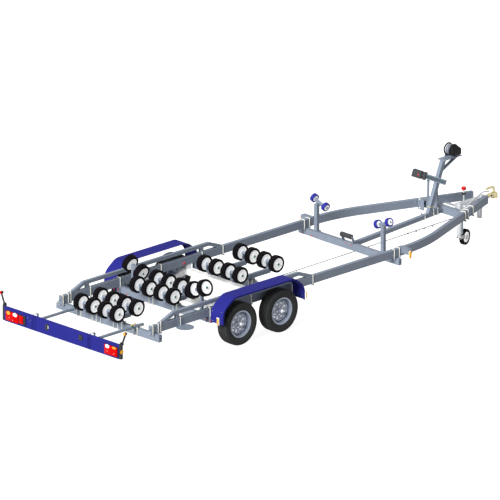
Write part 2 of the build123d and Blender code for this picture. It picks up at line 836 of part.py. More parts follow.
# ================================================================ light board
def board_panel():
    """Folded sheet with a return along its top and bottom edge."""
    front = board_rear + board_depth
    points = [
        (board_rear, board_low), (front, board_low), (front, board_low + board_sheet),
        (board_rear + board_sheet, board_low + board_sheet),
        (board_rear + board_sheet, board_high - board_sheet), (front, board_high - board_sheet),
        (front, board_high), (board_rear, board_high),
    ]
    panel = side_polygon(points, -board_half, board_half)
    return panel - block(board_rear - 1, board_rear + board_sheet + 1, slot_inner, slot_outer,
                         slot_low, slot_high)


def board_ends():
    """Black end caps, each with a rubber stalk that carries a marker lens."""
    pieces = []
    for side in (1, -1):
        cap = block(board_rear, board_rear + cap_depth, side * (board_half + SEAT), side * cap_end,
                    board_low + 5, board_high + 10)
        x = at(stalk_x)
        path = FilletPolyline(
            (x, side * (cap_end - 14), board_high + 4), (x, side * stalk_base_y, board_high + 60),
            (x, side * stalk_top_y, stalk_top), radius=40)
        start = path @ 0
        direction = path % 0
        stalk = sweep(Plane(origin=start, z_dir=direction) * Circle(stalk_radius), path=path)
        boss = rod_along_x(stalk_x - boss_half, stalk_x + boss_half, side * stalk_top_y,
                           stalk_top + lens_radius - 4, lens_radius)
        root = rod_along_x(stalk_x - boss_half, stalk_x + boss_half, side * (cap_end - stalk_boss / 2),
                           board_high + 8, stalk_boss)
        pieces.append(cap + stalk + boss + root)
    return pieces


def tail_lamps():
    """Lamp clusters on the rear face, and the marker lenses on the stalks."""
    pieces = []
    for _, y0, y1 in lamp_table:
        pieces.append(block(board_rear - lamp_thickness, board_rear - SEAT, y0, y1, lamp_low, lamp_high))
    height = stalk_top + lens_radius - 4
    for side in (1, -1):
        for x0, x1 in ((stalk_x - boss_half - lens_thick, stalk_x - boss_half),
                       (stalk_x + boss_half, stalk_x + boss_half + lens_thick)):
            pieces.append(rod_along_x(x0, x1, side * stalk_top_y, height, lens_radius - 2))
    return pieces


def board_tubes():
    return [rod_along_x(board_rear + board_sheet, tube_front, side * tube_offset, tube_height,
                        tube_radius) for side in (1, -1)]


# ================================================================ winch post and bow stop
lean = math.radians(post_lean)


def on_post(height, ahead=0.0):
    """Station on the leaning post at a height, measured square to it from its centre line."""
    return post_foot + (height - spine_top(post_foot)) * math.tan(lean) + ahead / math.cos(lean)


def slab(x0, x1, points):
    """Plate across the trailer: (side, height) outline between two stations."""
    face = make_face(Polyline(*points, close=True))
    plane = Plane(origin=(at(x0), 0, 0), x_dir=(0, 1, 0), z_dir=(1, 0, 0))
    return extrude(plane * face, amount=x1 - x0)


def stay(top, foot):
    """Flat bar between two (station, side, height) points, its width across the trailer."""
    path = Line((at(top[0]), top[1], top[2]), (at(foot[0]), foot[1], foot[2]))
    along = (path % 0).normalized()
    across = (Vector(0, 1, 0) - along * along.Y).normalized()
    return sweep(Plane(origin=path @ 0, x_dir=across, z_dir=along) * Rectangle(
        stay_width, stay_thick), path=path)


def footed_stay(top, foot_side):
    """Flat bar with a foot plate against the rear of the drawbar crossmember."""
    back = drawbar_cross_x - cross_depth / 2
    half = stay_width / 2
    bar = stay(top, (back - stay_thick / 2 - 2, foot_side, stay_foot_low + 25))
    return bar + block(back - stay_thick, back, foot_side - half, foot_side + half, stay_foot_low,
                       stay_foot_low + 45)


def winch_post():
    """Leaning post with its winch plate, brace, stay, cheeks and shaft."""
    half = post_size / 2

    def foot(ahead):
        slope = math.tan(lean)
        base = post_foot + ahead / math.cos(lean) - spine_top(post_foot) * slope
        height = spine_top(0) + base * spine_rise
        height = height / (1 - slope * spine_rise)
        return (base + height * slope, height)

    points = [foot(-half), (on_post(post_top, -half), post_top), (on_post(post_top, half), post_top),
              foot(half)]
    solid = side_polygon(points, -half, half)
    plate_top = post_top + winch_plate_thick
    solid += block(winch_plate_rear, winch_plate_front, -winch_plate_half, winch_left + cheek_plate,
                   post_top, plate_top)
    solid += block(winch_plate_rear, winch_plate_rear + 5, -winch_plate_half,
                   winch_left + cheek_plate, plate_top - winch_lip, plate_top)
    brace = [(on_post(plate_brace_low, half - 4), plate_brace_low),
             (on_post(plate_brace_low + 30, half - 4), plate_brace_low + 30),
             (winch_plate_front - 75, post_top + 2), (winch_plate_front - 35, post_top + 2),
             (winch_plate_front - 35, post_top - 6)]
    solid += side_polygon(brace, -plate_brace_width / 2, plate_brace_width / 2)
    solid += footed_stay((on_post(post_stay_height, half) - stay_thick / 2, post_stay_top,
                          post_stay_height), post_stay_foot)
    for y0, y1 in ((winch_left + SEAT, winch_left + cheek_plate),
                   (winch_right - cheek_plate, winch_right - SEAT)):
        cheek = make_face(Polyline(
            (winch_x - cheek_half, plate_top - 2), (winch_x - cheek_top_half, winch_height + 24),
            (winch_x + cheek_top_half, winch_height + 24), (winch_x + cheek_half, plate_top - 2),
            close=True))
        solid += side_profile(cheek, y0, y1)
    solid += rod_along_y(winch_x, winch_right - cheek_plate - 20, winch_left + cheek_plate + 12,
                         winch_height, winch_shaft)
    return solid


def winch_drum():
    """Flanged drum with its wound strap."""
    drum = rod_along_y(winch_x, winch_right, winch_left, winch_height, winch_core)
    for y0, y1 in ((winch_left - winch_flange_thick, winch_left),
                   (winch_right, winch_right + winch_flange_thick)):
        drum += rod_along_y(winch_x, y0, y1, winch_height, winch_flange)
    return drum - rod_along_y(winch_x, winch_right - 1, winch_left + 1, winch_height,
                              winch_shaft + PIN_FIT)


def winch_cover():
    """Moulded gear cover on the right of the drum: crowned over the gear, lower at its side."""
    left = winch_right - cheek_plate - SEAT
    low = post_top + winch_plate_thick + cover_lift
    side_top = low + cover_side
    crown = side_top + cover_rise
    outline = make_face(Polyline(
        (cover_rear, low), (cover_rear, side_top), (winch_x - 52, crown), (winch_x + 6, crown),
        (cover_front, side_top - 8), (cover_front, low), close=True))
    outline = fillet(outline.vertices(), 14)
    cover = side_profile(outline, left, cover_right)
    shoulder = slab(cover_rear - 1, cover_front + 1, [
        (left + 1, low - 1), (left + 1, crown + 1), (left - 16, crown + 1), (cover_right, side_top),
        (cover_right, low - 1)])
    cover = cover & shoulder
    panel = block(cover_rear + 14, cover_front - 8, cover_right, cover_right - 4, low + 8,
                  side_top - 14)
    return cover + panel - rod_along_y(winch_x, left - 30, left + 1, winch_height, winch_shaft + 2)


def bow_stop():
    """Channel across the post, with two stays down to the drawbar crossmember."""
    rear = on_post(bow_height, -post_size / 2)
    slope = math.tan(lean)
    low, high = bow_height - bow_section / 2, bow_height + bow_section / 2

    def edge(height, ahead):
        return (rear + (height - bow_height) * slope - SEAT + ahead, height)

    channel = [
        edge(low, -bow_channel), edge(low, 0), edge(high, 0), edge(high, -bow_channel),
        edge(high - bow_wall, -bow_channel), edge(high - bow_wall, -bow_wall),
        edge(low + bow_wall, -bow_wall), edge(low + bow_wall, -bow_channel),
    ]
    solid = side_polygon(channel, bow_right, bow_left)
    start = low + 14
    solid += footed_stay((edge(start, stay_thick / 2 - 1)[0], bow_stay_top, start), bow_stay_foot)
    return solid


def bow_pad():
    """Rubber bow block with its collar, on the left end of the channel."""
    rear = on_post(bow_height, -post_size / 2)
    slope = math.tan(lean)

    def leaning(height, depth, y0, y1):
        low, high = bow_height - height / 2, bow_height + height / 2
        points = [(rear + (low - bow_height) * slope - depth, low),
                  (rear + (low - bow_height) * slope, low),
                  (rear + (high - bow_height) * slope, high),
                  (rear + (high - bow_height) * slope - depth, high)]
        return side_polygon(points, y0, y1)

    collar = leaning(pad_height, pad_depth - 6, bow_left + SEAT, collar_outer)
    pad = leaning(pad_height, pad_depth, pad_inner, pad_outer)
    core = leaning(30.0, 26.0, bow_left + SEAT, pad_outer - 40)
    return collar + pad + core


# ================================================================ jockey wheel
def jockey_mount():
    """Clamp on the right drawbar rail, the outer tube and its crank."""
    tube = rod_along_z(jockey_x, jockey_y, jockey_tube_low, jockey_tube_high, jockey_tube)
    tube -= rod_along_z(jockey_x, jockey_y, jockey_tube_low, jockey_tube_high - 8,
                        jockey_tube - jockey_tube_wall)
    half_width = rail_width / 2 / math.cos(math.radians(rail_bend_angle))
    rear, front = jockey_x - 34, jockey_x + 60
    clamp = make_face(Polyline(
        (at(rear), -(drawbar_y(rear) - half_width)), (at(front), -(drawbar_y(front) - half_width)),
        (at(front), jockey_y + 10), (at(jockey_x + 34), jockey_y + 34), (at(rear), jockey_y + 34),
        close=True))
    clamp = extrude(Pos(0, 0, rail_bottom + 25) * clamp, amount=rail_height - 40)
    clamp -= rod_along_z(jockey_x, jockey_y, rail_bottom, rail_top, jockey_tube - 1)
    crank = rod_along_z(jockey_x, jockey_y, jockey_tube_high - 1, jockey_tube_high + 14, 9)
    crank += block(jockey_x - 12, jockey_x + crank_reach + 10, jockey_y - 10, jockey_y + 10,
                   jockey_tube_high + 6, jockey_tube_high + 14)
    crank += rod_along_z(jockey_x + crank_reach, jockey_y, jockey_tube_high + 10,
                         jockey_tube_high + 218, 9)
    crank += rod_along_z(jockey_x + crank_reach, jockey_y, jockey_tube_high + 113,
                         jockey_tube_high + 133, 26)
    crank += rod_along_z(jockey_x + crank_reach, jockey_y, jockey_tube_high + 175,
                         jockey_tube_high + 222, 25)
    return tube + clamp + crank


def jockey_leg():
    top = jockey_tube_low + jockey_leg_length
    return rod_along_z(jockey_x, jockey_y, fork_top, top, jockey_leg_radius)



def swivelled(shape):
    """Turn a piece of the wheel end about the jockey tube."""
    return Pos(at(jockey_x), jockey_y, 0) * Rot(0, 0, jockey_turn) * Pos(
        -at(jockey_x), -jockey_y, 0) * shape


def jockey_fork():
    """Crown below the tube and two arms that trail to the wheel's axle."""
    half = jockey_wheel_width / 2 + fork_gap
    reach = half + fork_plate
    crown_top = fork_top - SEAT
    solid = block(jockey_x - fork_rear, jockey_x + fork_rear, jockey_y - reach, jockey_y + reach,
                  crown_top - 8, crown_top)
    axle_x = jockey_x + jockey_trail
    axle_z = jockey_wheel_radius
    for side in (-1, 1):
        arm = make_face(Polyline(
            (jockey_x - fork_rear, crown_top - 30), (jockey_x - fork_rear, crown_top + 12),
            (jockey_x + fork_rear + 14, crown_top + 12), (axle_x + 6, axle_z + 24),
            (axle_x + 24, axle_z + 6), (axle_x + 24, axle_z - 12), (axle_x + 8, axle_z - 24),
            (axle_x - 14, axle_z - 24), (jockey_x + fork_rear, crown_top - 34), close=True))
        solid += side_profile(arm, jockey_y + side * half, jockey_y + side * reach)
    solid += rod_along_y(axle_x, jockey_y - reach - 6, jockey_y + reach + 6, axle_z, jockey_pin)
    return swivelled(solid)


def jockey_wheel():
    """Solid tyre on a dished hub, cleared for the fork's crown."""
    points = roller_profile(jockey_wheel_radius, jockey_wheel_width, jockey_rim, 12.0,
                            jockey_hub / 2, jockey_pin + PIN_FIT)
    profile = make_face(Polyline(*points, close=True))
    wheel = revolve(Plane.XY * profile, Axis((0, 0, 0), (0, 1, 0)))
    return swivelled(Pos(at(jockey_x + jockey_trail), jockey_y, jockey_wheel_radius) * wheel)


# ================================================================ coupling
def drawbar_housing():
    """Overrun housing between the rails, with plates to the rails, lever and skid."""
    body = rod_along_x(housing_rear, housing_front, 0, housing_height, housing_radius)
    body += rod_along_x(housing_front - housing_collar, housing_front, 0, housing_height,
                        housing_radius + 10)
    half_width = rail_width / 2 / math.cos(math.radians(rail_bend_angle))
    low = housing_height - housing_radius + 2
    for x0, x1 in housing_plates:
        flange = make_face(Polyline(
            (at(x0), drawbar_y(x0) - half_width), (at(x1), drawbar_y(x1) - half_width),
            (at(x1), -(drawbar_y(x1) - half_width)), (at(x0), -(drawbar_y(x0) - half_width)),
            close=True))
        body += extrude(Pos(0, 0, rail_bottom + 6) * flange, amount=housing_plate)
    outer = [(-skid_top, low + 10), (skid_top, low + 10), (skid_foot, skid_low), (-skid_foot, skid_low)]
    inset = skid_sheet
    inner = [(-skid_top + inset, low + 11), (skid_top - inset, low + 11),
             (skid_foot - inset, skid_low - 1), (-skid_foot + inset, skid_low - 1)]
    body += slab(skid_x, skid_x + skid_depth, outer) - slab(
        skid_x + skid_sheet, skid_x + skid_depth + 1, inner)
    path = FilletPolyline(*[(at(housing_rear + ahead), lever_y, z) for ahead, z in lever_route],
                          radius=14)
    lever = sweep(Plane(origin=path @ 0, z_dir=path % 0) * Circle(lever_radius), path=path)
    lever_foot = housing_rear + lever_route[0][0]
    lug = block(lever_foot - 16, lever_foot + 16, lever_y - 5, 0, housing_height - 16,
                housing_height + 12)
    link = block(link_rear, link_rear + 30, rod_y - 5, rod_y + 5, rod_route[-1][1] - 15,
                 housing_height - 3)
    arm = block(link_rear, housing_rear + 32, rod_y - 5, 0, housing_height - 24,
                housing_height - 3)
    return body + lever + lug + link + arm


def coupling_head():
    """Ball coupling with its raised handle."""
    body = rod_along_x(coupling_rear + SEAT, ball_x - 20, 0, coupling_height, coupling_tube)
    body += rod_along_z(ball_x, 0, ball_height - 22, coupling_height + 26, cup_radius)
    body += block(ball_x - coupling_body, ball_x, -handle_half - 18, handle_half + 18,
                  coupling_height - 20, coupling_height + 28)
    socket = Pos(at(ball_x), 0, ball_height) * Sphere(ball_bore)
    socket += rod_along_z(ball_x, 0, ball_height - 30, ball_height, ball_bore)
    body -= socket
    rear, front = ball_x - handle_reach, ball_x
    handle = make_face(Polyline(
        (rear, handle_top - 10), (rear + 60, handle_top), (front - 34, handle_top),
        (front, handle_top - 30), (front, coupling_height), (front - handle_thick, coupling_height),
        (front - handle_thick, handle_top - 38), (front - 44, handle_top - handle_thick),
        (rear + 60, handle_top - handle_thick), (rear, handle_top - handle_thick - 8), close=True))
    return body + side_profile(handle, -handle_half, handle_half)


# ================================================================ brake rod
def brake_rod():
    """Long thin rod from the overrun lever back to the axles."""
    path = FilletPolyline(*[(at(x), rod_y, z) for x, z in rod_route], radius=rod_bend)
    rod = sweep(Plane(origin=path @ 0, z_dir=path % 0) * Circle(rod_radius), path=path)
    return rod


# ================================================================ the trailer
def build():
    os.makedirs("parts", exist_ok=True)
    left_rail = rail()
    save("main_rail_left", left_rail)
    save("main_rail_right", mirrored(left_rail))
    save("truss_rails", both_sides(truss()))
    save("crossmembers", [crossmember(*row) for row in cross_table])
    save("drawbar_cross", drawbar_cross())
    save("spine_beam", spine())
    save("axles", [axle(station) for station in axle_stations])
    save("mudguards", both_sides(mudguard()))
    save("rail_brackets", rail_brackets())
    save("marker_lamps", marker_lamps())
    for side, side_name in ((1, "left"), (-1, "right")):
        for station, end_name in zip(axle_stations, ("rear", "front")):
            save(f"tyre_{end_name}_{side_name}", tyre(station, side))
            save(f"rim_{end_name}_{side_name}", rim(station, side))
    brackets = []
    for set_name, pivot, half_pitch in rocker_table:
        for side, side_name in ((1, "left"), (-1, "right")):
            middle = side * rocker_offset
            save(f"rocker_{set_name}_{side_name}", rocker(pivot, half_pitch, middle))
            for end, end_name in ((-1, "aft"), (1, "fore")):
                save(f"rollers_{set_name}_{side_name}_{end_name}",
                     rocker_rollers(pivot + end * half_pitch, middle))
            brackets.append(pivot_bracket(pivot, middle))
    brackets.append(keel_bracket())
    brackets.extend(tube_holder(side) for side in (1, -1))
    save("roller_brackets", brackets)
    save("roller_posts", roller_posts())
    for side, side_name in ((1, "left"), (-1, "right")):
        save(f"bogie_rollers_{side_name}", roller_pair(
            bogie_station, side * bogie_middle, bogie_height, side * bogie_tilt, bogie_pitch,
            roller_radius, roller_width, roller_rim_radius, roller_dish, roller_hub_radius, axle_pin))
        save(f"guide_rollers_{side_name}", roller_pair(
            guide_station, side * guide_middle, guide_height, side * guide_tilt, guide_pitch,
            guide_radius, guide_width, guide_rim_radius, guide_dish, guide_hub_radius, guide_pin))
    save("keel_roller", keel_roller())
    save("board_panel", board_panel())
    save("board_ends", board_ends())
    save("tail_lamps", tail_lamps())
    save("board_tubes", board_tubes())
    save("winch_post", winch_post())
    save("winch_drum", winch_drum())
    save("winch_cover", winch_cover())
    save("bow_stop", bow_stop())
    save("bow_pad", bow_pad())
    save("jockey_mount", jockey_mount())
    save("jockey_leg", jockey_leg())
    save("jockey_fork", jockey_fork())
    save("jockey_wheel", jockey_wheel())
    save("drawbar_housing", drawbar_housing())
    save("coupling_head", coupling_head())
    save("brake_rod", brake_rod())


build()
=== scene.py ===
"""Looks of the tandem-axle roller boat trailer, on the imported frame.

Metres, in the row frame: +X forward, +Y left, +Z up. A station is measured forward from the
middle between the two axles, and at() turns it into the frame's X.
"""
import bpy
import bmesh
import math
from mathutils import Matrix, Vector


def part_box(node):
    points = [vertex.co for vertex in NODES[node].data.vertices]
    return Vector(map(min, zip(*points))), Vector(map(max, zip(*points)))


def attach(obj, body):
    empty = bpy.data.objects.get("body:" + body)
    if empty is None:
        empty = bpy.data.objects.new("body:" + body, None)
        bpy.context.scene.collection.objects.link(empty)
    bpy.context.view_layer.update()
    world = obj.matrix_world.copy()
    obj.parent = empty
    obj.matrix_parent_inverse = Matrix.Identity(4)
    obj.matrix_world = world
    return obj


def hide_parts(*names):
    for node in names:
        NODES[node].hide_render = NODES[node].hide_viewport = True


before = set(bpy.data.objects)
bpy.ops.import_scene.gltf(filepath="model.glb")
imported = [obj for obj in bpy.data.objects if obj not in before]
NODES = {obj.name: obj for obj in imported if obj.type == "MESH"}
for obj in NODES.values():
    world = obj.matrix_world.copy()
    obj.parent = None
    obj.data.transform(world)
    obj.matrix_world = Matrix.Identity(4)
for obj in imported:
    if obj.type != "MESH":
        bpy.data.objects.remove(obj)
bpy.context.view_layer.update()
PI = math.pi
SIDES = (("left", 1), ("right", -1))
AXLES_MIDDLE = 1.4635                   # how far the middle between the axles is behind X = 0


def at(station):
    """Station from the middle between the axles -> row frame."""
    return station - AXLES_MIDDLE


# ------------------------------------------------------------------ camera, light, floor
RIGHT = Vector((0.7182, -0.69584, -0.0014))
UP = Vector((0.22578, 0.23113, 0.94636))
BACK = Vector((-0.65819, -0.67999, 0.3231))
AIM = Vector((0.0467, 0.6532, 0.4972))
DISTANCE = 316.8
LENS = 1640.0
SOFT_LIGHT = 0.30
SUN_ENERGY = 4.5
SUN_ANGLE = math.radians(28)
TOWARDS_SUN = Vector((-0.83, -0.13, 0.54))
FLOOR_HALF = 60
FLOOR_BOUNCE = (0.36, 0.36, 0.36, 1)
FLOOR_PALE = (0.5, 0.5, 0.5, 1)
FLOOR_GLOW = 0.86
SEEN = ["Is Camera Ray", "Is Glossy Ray", "Is Transmission Ray"]

camera_data = bpy.data.cameras.new("camera")
camera_data.lens = LENS
camera_data.sensor_width = 36.0
camera_data.clip_start = 0.1
camera_data.clip_end = 2000.0
camera = bpy.data.objects.new("camera", camera_data)
bpy.context.scene.collection.objects.link(camera)
turn = Matrix((RIGHT, UP, BACK)).transposed()
camera.matrix_world = Matrix.Translation(AIM + BACK * DISTANCE) @ turn.to_4x4()
bpy.context.scene.camera = camera
bpy.context.scene.view_settings.view_transform = "Standard"


def light_paths(tree, wanted):
    """Socket that is 1 for the named kinds of ray."""
    path = tree.nodes.new("ShaderNodeLightPath")
    total = path.outputs[wanted[0]]
    for name in wanted[1:]:
        joined = tree.nodes.new("ShaderNodeMath")
        joined.operation = "MAXIMUM"
        tree.links.new(total, joined.inputs[0])
        tree.links.new(path.outputs[name], joined.inputs[1])
        total = joined.outputs[0]
    return total


def split_by_ray(tree, lighting, seen, output):
    """One shader lights the object, another is what the camera and reflections see."""
    mixed = tree.nodes.new("ShaderNodeMixShader")
    tree.links.new(light_paths(tree, SEEN), mixed.inputs[0])
    tree.links.new(lighting.outputs[0], mixed.inputs[1])
    tree.links.new(seen.outputs[0], mixed.inputs[2])
    out = tree.nodes.new(output)
    tree.links.new(mixed.outputs[0], out.inputs["Surface"])


world = bpy.data.worlds.new("studio")
bpy.context.scene.world = world
world.use_nodes = True
tree = world.node_tree
tree.nodes.clear()
soft = tree.nodes.new("ShaderNodeBackground")
soft.inputs["Strength"].default_value = SOFT_LIGHT
white = tree.nodes.new("ShaderNodeBackground")
white.inputs["Strength"].default_value = 1.0
for shader in (soft, white):
    shader.inputs["Color"].default_value = (1, 1, 1, 1)
split_by_ray(tree, soft, white, "ShaderNodeOutputWorld")

key_data = bpy.data.lights.new("key", "SUN")
key_data.energy = SUN_ENERGY
key_data.angle = SUN_ANGLE
key = bpy.data.objects.new("key", key_data)
bpy.context.scene.collection.objects.link(key)
key.matrix_world = TOWARDS_SUN.to_track_quat("Z", "Y").to_matrix().to_4x4()

floor_mesh = bpy.data.meshes.new("floor")
floor_mesh.from_pydata([(-FLOOR_HALF, -FLOOR_HALF, 0), (FLOOR_HALF, -FLOOR_HALF, 0),
                        (FLOOR_HALF, FLOOR_HALF, 0), (-FLOOR_HALF, FLOOR_HALF, 0)], [], [(0, 1, 2, 3)])
floor = bpy.data.objects.new("floor", floor_mesh)
bpy.context.scene.collection.objects.link(floor)
floor_material = bpy.data.materials.new("floor")
floor_material.use_nodes = True
tree = floor_material.node_tree
tree.nodes.clear()
plain = tree.nodes.new("ShaderNodeBsdfDiffuse")
plain.inputs["Color"].default_value = FLOOR_BOUNCE
pale = tree.nodes.new("ShaderNodeBsdfDiffuse")
pale.inputs["Color"].default_value = FLOOR_PALE
glow = tree.nodes.new("ShaderNodeEmission")
glow.inputs["Strength"].default_value = FLOOR_GLOW
both = tree.nodes.new("ShaderNodeAddShader")
tree.links.new(pale.outputs[0], both.inputs[0])
tree.links.new(glow.outputs[0], both.inputs[1])
split_by_ray(tree, plain, both, "ShaderNodeOutputMaterial")
floor_mesh.materials.append(floor_material)


# ------------------------------------------------------------------ materials
ROUGH_SPREAD = 0.12
COAT_ROUGHNESS = 0.08
SPANGLE_SCALE = 55.0


def linear(colour):
    """0-255 screen colour -> linear."""
    out = []
    for value in colour:
        value /= 255
        out.append(value / 12.92 if value <= 0.04045 else ((value + 0.055) / 1.055) ** 2.4)
    return tuple(out)


def material(name, colour, roughness, metallic=0.0, level=0.5, spread=0.10, scale=18.0,
             fine=220.0, bump=0.15, depth=0.0006, spangle=0.0, coat=0.0,
             glow=0.0, glow_tint=(1, 1, 1)):
    """A procedural finish: colour clouded by noise, optional zinc spangle, roughness and bump
    from finer noise. Numbers that don't vary sit on the shader."""
    m = bpy.data.materials.new(name)
    m.use_nodes = True
    tree = m.node_tree
    new, link = tree.nodes.new, tree.links.new
    bsdf = tree.nodes["Principled BSDF"]
    bsdf.inputs["Metallic"].default_value = metallic
    bsdf.inputs["Specular IOR Level"].default_value = level
    if coat:
        bsdf.inputs["Coat Weight"].default_value = coat
        bsdf.inputs["Coat Roughness"].default_value = COAT_ROUGHNESS
    if glow:
        bsdf.inputs["Emission Color"].default_value = (*glow_tint, 1)
        bsdf.inputs["Emission Strength"].default_value = glow
    where = new("ShaderNodeTexCoord").outputs["Object"]

    cloud = new("ShaderNodeTexNoise")
    cloud.inputs["Scale"].default_value = scale
    cloud.inputs["Detail"].default_value = 4.0
    link(where, cloud.inputs["Vector"])
    ramp = new("ShaderNodeValToRGB")
    ramp.color_ramp.elements[0].position = 0.3
    ramp.color_ramp.elements[1].position = 0.7
    base = linear(colour)
    ramp.color_ramp.elements[0].color = (*[c * (1 - spread) for c in base], 1)
    ramp.color_ramp.elements[1].color = (*[min(1.0, c * (1 + spread)) for c in base], 1)
    link(cloud.outputs["Fac"], ramp.inputs["Fac"])
    tint = ramp.outputs["Color"]
    if spangle:
        cells = new("ShaderNodeTexVoronoi")
        cells.inputs["Scale"].default_value = SPANGLE_SCALE
        link(where, cells.inputs["Vector"])
        shade = new("ShaderNodeMapRange")
        shade.inputs["To Min"].default_value = 1 - spangle
        shade.inputs["To Max"].default_value = 1 + spangle
        split = new("ShaderNodeSeparateColor")
        link(cells.outputs["Color"], split.inputs[0])
        link(split.outputs[0], shade.inputs["Value"])
        mix = new("ShaderNodeVectorMath")
        mix.operation = "SCALE"
        link(tint, mix.inputs[0])
        link(shade.outputs[0], mix.inputs["Scale"])
        tint = mix.outputs[0]
    link(tint, bsdf.inputs["Base Color"])

    grain = new("ShaderNodeTexNoise")
    grain.inputs["Scale"].default_value = fine
    grain.inputs["Detail"].default_value = 2.0
    link(where, grain.inputs["Vector"])
    rough = new("ShaderNodeMapRange")
    rough.inputs["To Min"].default_value = max(0.05, roughness - ROUGH_SPREAD)
    rough.inputs["To Max"].default_value = min(1.0, roughness + ROUGH_SPREAD)
    link(cloud.outputs["Fac"], rough.inputs["Value"])
    link(rough.outputs[0], bsdf.inputs["Roughness"])
    raised = new("ShaderNodeBump")
    raised.inputs["Strength"].default_value = bump
    raised.inputs["Distance"].default_value = depth
    link(grain.outputs["Fac"], raised.inputs["Height"])
    link(raised.outputs[0], bsdf.inputs["Normal"])
    return m


# metals
galvanised = material("galvanised", (129, 139, 154), 0.56, metallic=0.10, level=0.22, spread=0.05,
                      scale=6.0, fine=160.0, spangle=0.05)
bright_zinc = material("bright_zinc", (232, 230, 218), 0.40, metallic=0.15, spread=0.08, scale=40.0)
zinc_yellow = material("zinc_yellow", (214, 204, 156), 0.36, metallic=0.35, spread=0.12, scale=30.0)
axle_coat = material("axle_coat", (246, 246, 244), 0.45, level=0.3, spread=0.03, scale=12.0)
jockey_coat = material("jockey_coat", (200, 203, 204), 0.45, metallic=0.1, level=0.3, spread=0.03,
                       scale=20.0)
rim_silver = material("rim_silver", (158, 167, 184), 0.36, metallic=0.2, level=0.4, spread=0.06,
                      scale=25.0)
axle_washer = material("axle_washer", (84, 92, 120), 0.45, metallic=0.2, level=0.3, spread=0.08,
                       scale=60.0)
pale_zinc = material("pale_zinc", (206, 209, 213), 0.42, metallic=0.1, level=0.3, spread=0.04,
                     scale=20.0)
# Darker steel; on the bow stop's plate it paints the shade inside the stop's channel.
shaded_steel = material("shaded_steel", (74, 80, 91), 0.55, metallic=0.1, level=0.2, spread=0.06,
                        scale=20.0)
gold = material("gold_zinc", (222, 176, 70), 0.35, metallic=0.3, level=0.4, spread=0.08, scale=60.0)
green_bolt = material("green_bolt", (40, 120, 82), 0.4, metallic=0.2, spread=0.12, scale=90.0)
red_bolt = material("red_bolt", (214, 52, 64), 0.4, metallic=0.1, spread=0.1, scale=90.0)
# paint, rubber and plastic
blue_sheet = material("blue_sheet", (41, 42, 128), 0.62, level=0.05, spread=0.06, scale=5.0,
                      fine=300.0, bump=0.06)
blue_edge = material("blue_edge", (36, 37, 112), 0.6, level=0.05, spread=0.06, scale=12.0, bump=0.05)
blue_roller = material("blue_roller", (48, 50, 150), 0.5, level=0.12, spread=0.10, scale=60.0)
black_rubber = material("black_rubber", (13, 11, 15), 0.66, level=0.05, spread=0.25, scale=70.0,
                        fine=500.0, bump=0.3)
road_rubber = material("road_rubber", (53, 54, 54), 0.75, level=0.10, spread=0.18, scale=30.0,
                       fine=420.0, bump=0.35)
pad_rubber = material("pad_rubber", (62, 64, 66), 0.70, level=0.15, spread=0.15, scale=50.0,
                      fine=420.0, bump=0.3)
black_moulding = material("black_moulding", (46, 47, 48), 0.45, level=0.2, spread=0.12, scale=40.0)
winch_black = material("winch_black", (20, 20, 23), 0.42, level=0.14, spread=0.12, scale=30.0)
# The emission on this white finish paints light on hubs, caps, vents and lamp bases, so they stay
# bright where they lie in shade.
white_hub_glow = material("white_hub_glow", (250, 251, 252), 0.45, level=0.3, spread=0.015, scale=40.0,
                     coat=0.2, glow=0.27)
strap_grey = material("strap_grey", (98, 105, 120), 0.7, level=0.15, spread=0.10, scale=90.0,
                      fine=600.0, bump=0.3)
# Flat dark finish that paints the shade inside the rollers' hub holes.
recess_shade = material("recess_shade", (52, 54, 58), 0.7, level=0.1, spread=0.1)
red_knob = material("red_knob", (216, 16, 26), 0.32, level=0.3, spread=0.06, scale=60.0)
# lamps and reflectors
red_lens = material("red_lens", (203, 3, 4), 0.30, level=0.06, spread=0.05, scale=90.0, bump=0.05)
amber_lens = material("amber_lens", (232, 164, 28), 0.25, level=0.2, spread=0.05, scale=90.0,
                      coat=0.2, bump=0.05)
# The emission on this amber finish paints a glow on the unlit side lamps and the round reflector.
amber_glow = material("amber_reflector", (244, 172, 34), 0.3, level=0.2, spread=0.05, scale=90.0,
                      glow_tint=(1.0, 0.42, 0.02), glow=0.14)
white_lens = material("white_lens", (250, 250, 250), 0.15, level=0.4, spread=0.02, scale=90.0,
                      coat=0.4, bump=0.05)

BY_NODE = {
    "axles": axle_coat, "mudguards": blue_sheet, "board_panel": blue_sheet,
    "board_ends": black_moulding, "tail_lamps": red_lens, "marker_lamps": amber_lens,
    "winch_cover": winch_black, "winch_drum": winch_black, "bow_pad": pad_rubber,
    "jockey_mount": jockey_coat, "jockey_leg": jockey_coat, "jockey_fork": jockey_coat,
    "jockey_wheel": black_rubber, "coupling_head": zinc_yellow, "drawbar_housing": pale_zinc,
    "keel_roller": pad_rubber, "brake_rod": shaded_steel,
}
BY_START = {"tyre": road_rubber, "rim": rim_silver, "rollers_": black_rubber,
            "bogie_rollers": black_rubber, "guide_rollers": blue_roller}
for name, node in NODES.items():
    chosen = BY_NODE.get(name, galvanised)
    for start, finish in BY_START.items():
        if name.startswith(start):
            chosen = finish
    for slot in node.material_slots:
        slot.material = chosen


# ------------------------------------------------------------------ mesh building
def place(x=0.0, y=0.0, z=0.0, ry=0.0, rx=0.0, rz=0.0):
    """Matrix that turns by degrees about X, then Y, then Z, and then moves."""
    return (Matrix.Translation((x, y, z)) @ Matrix.Rotation(math.radians(rz), 4, "Z")
            @ Matrix.Rotation(math.radians(ry), 4, "Y") @ Matrix.Rotation(math.radians(rx), 4, "X"))


def spun(angle, axis="Z"):
    """Matrix that turns by an angle in radians about one axis."""
    return Matrix.Rotation(angle, 4, axis)


ALONG_X = spun(PI / 2, "Y")             # local Z -> +X
ALONG_Y = spun(-PI / 2, "X")            # local Z -> +Y
UPRIGHT = Matrix.Identity(4)


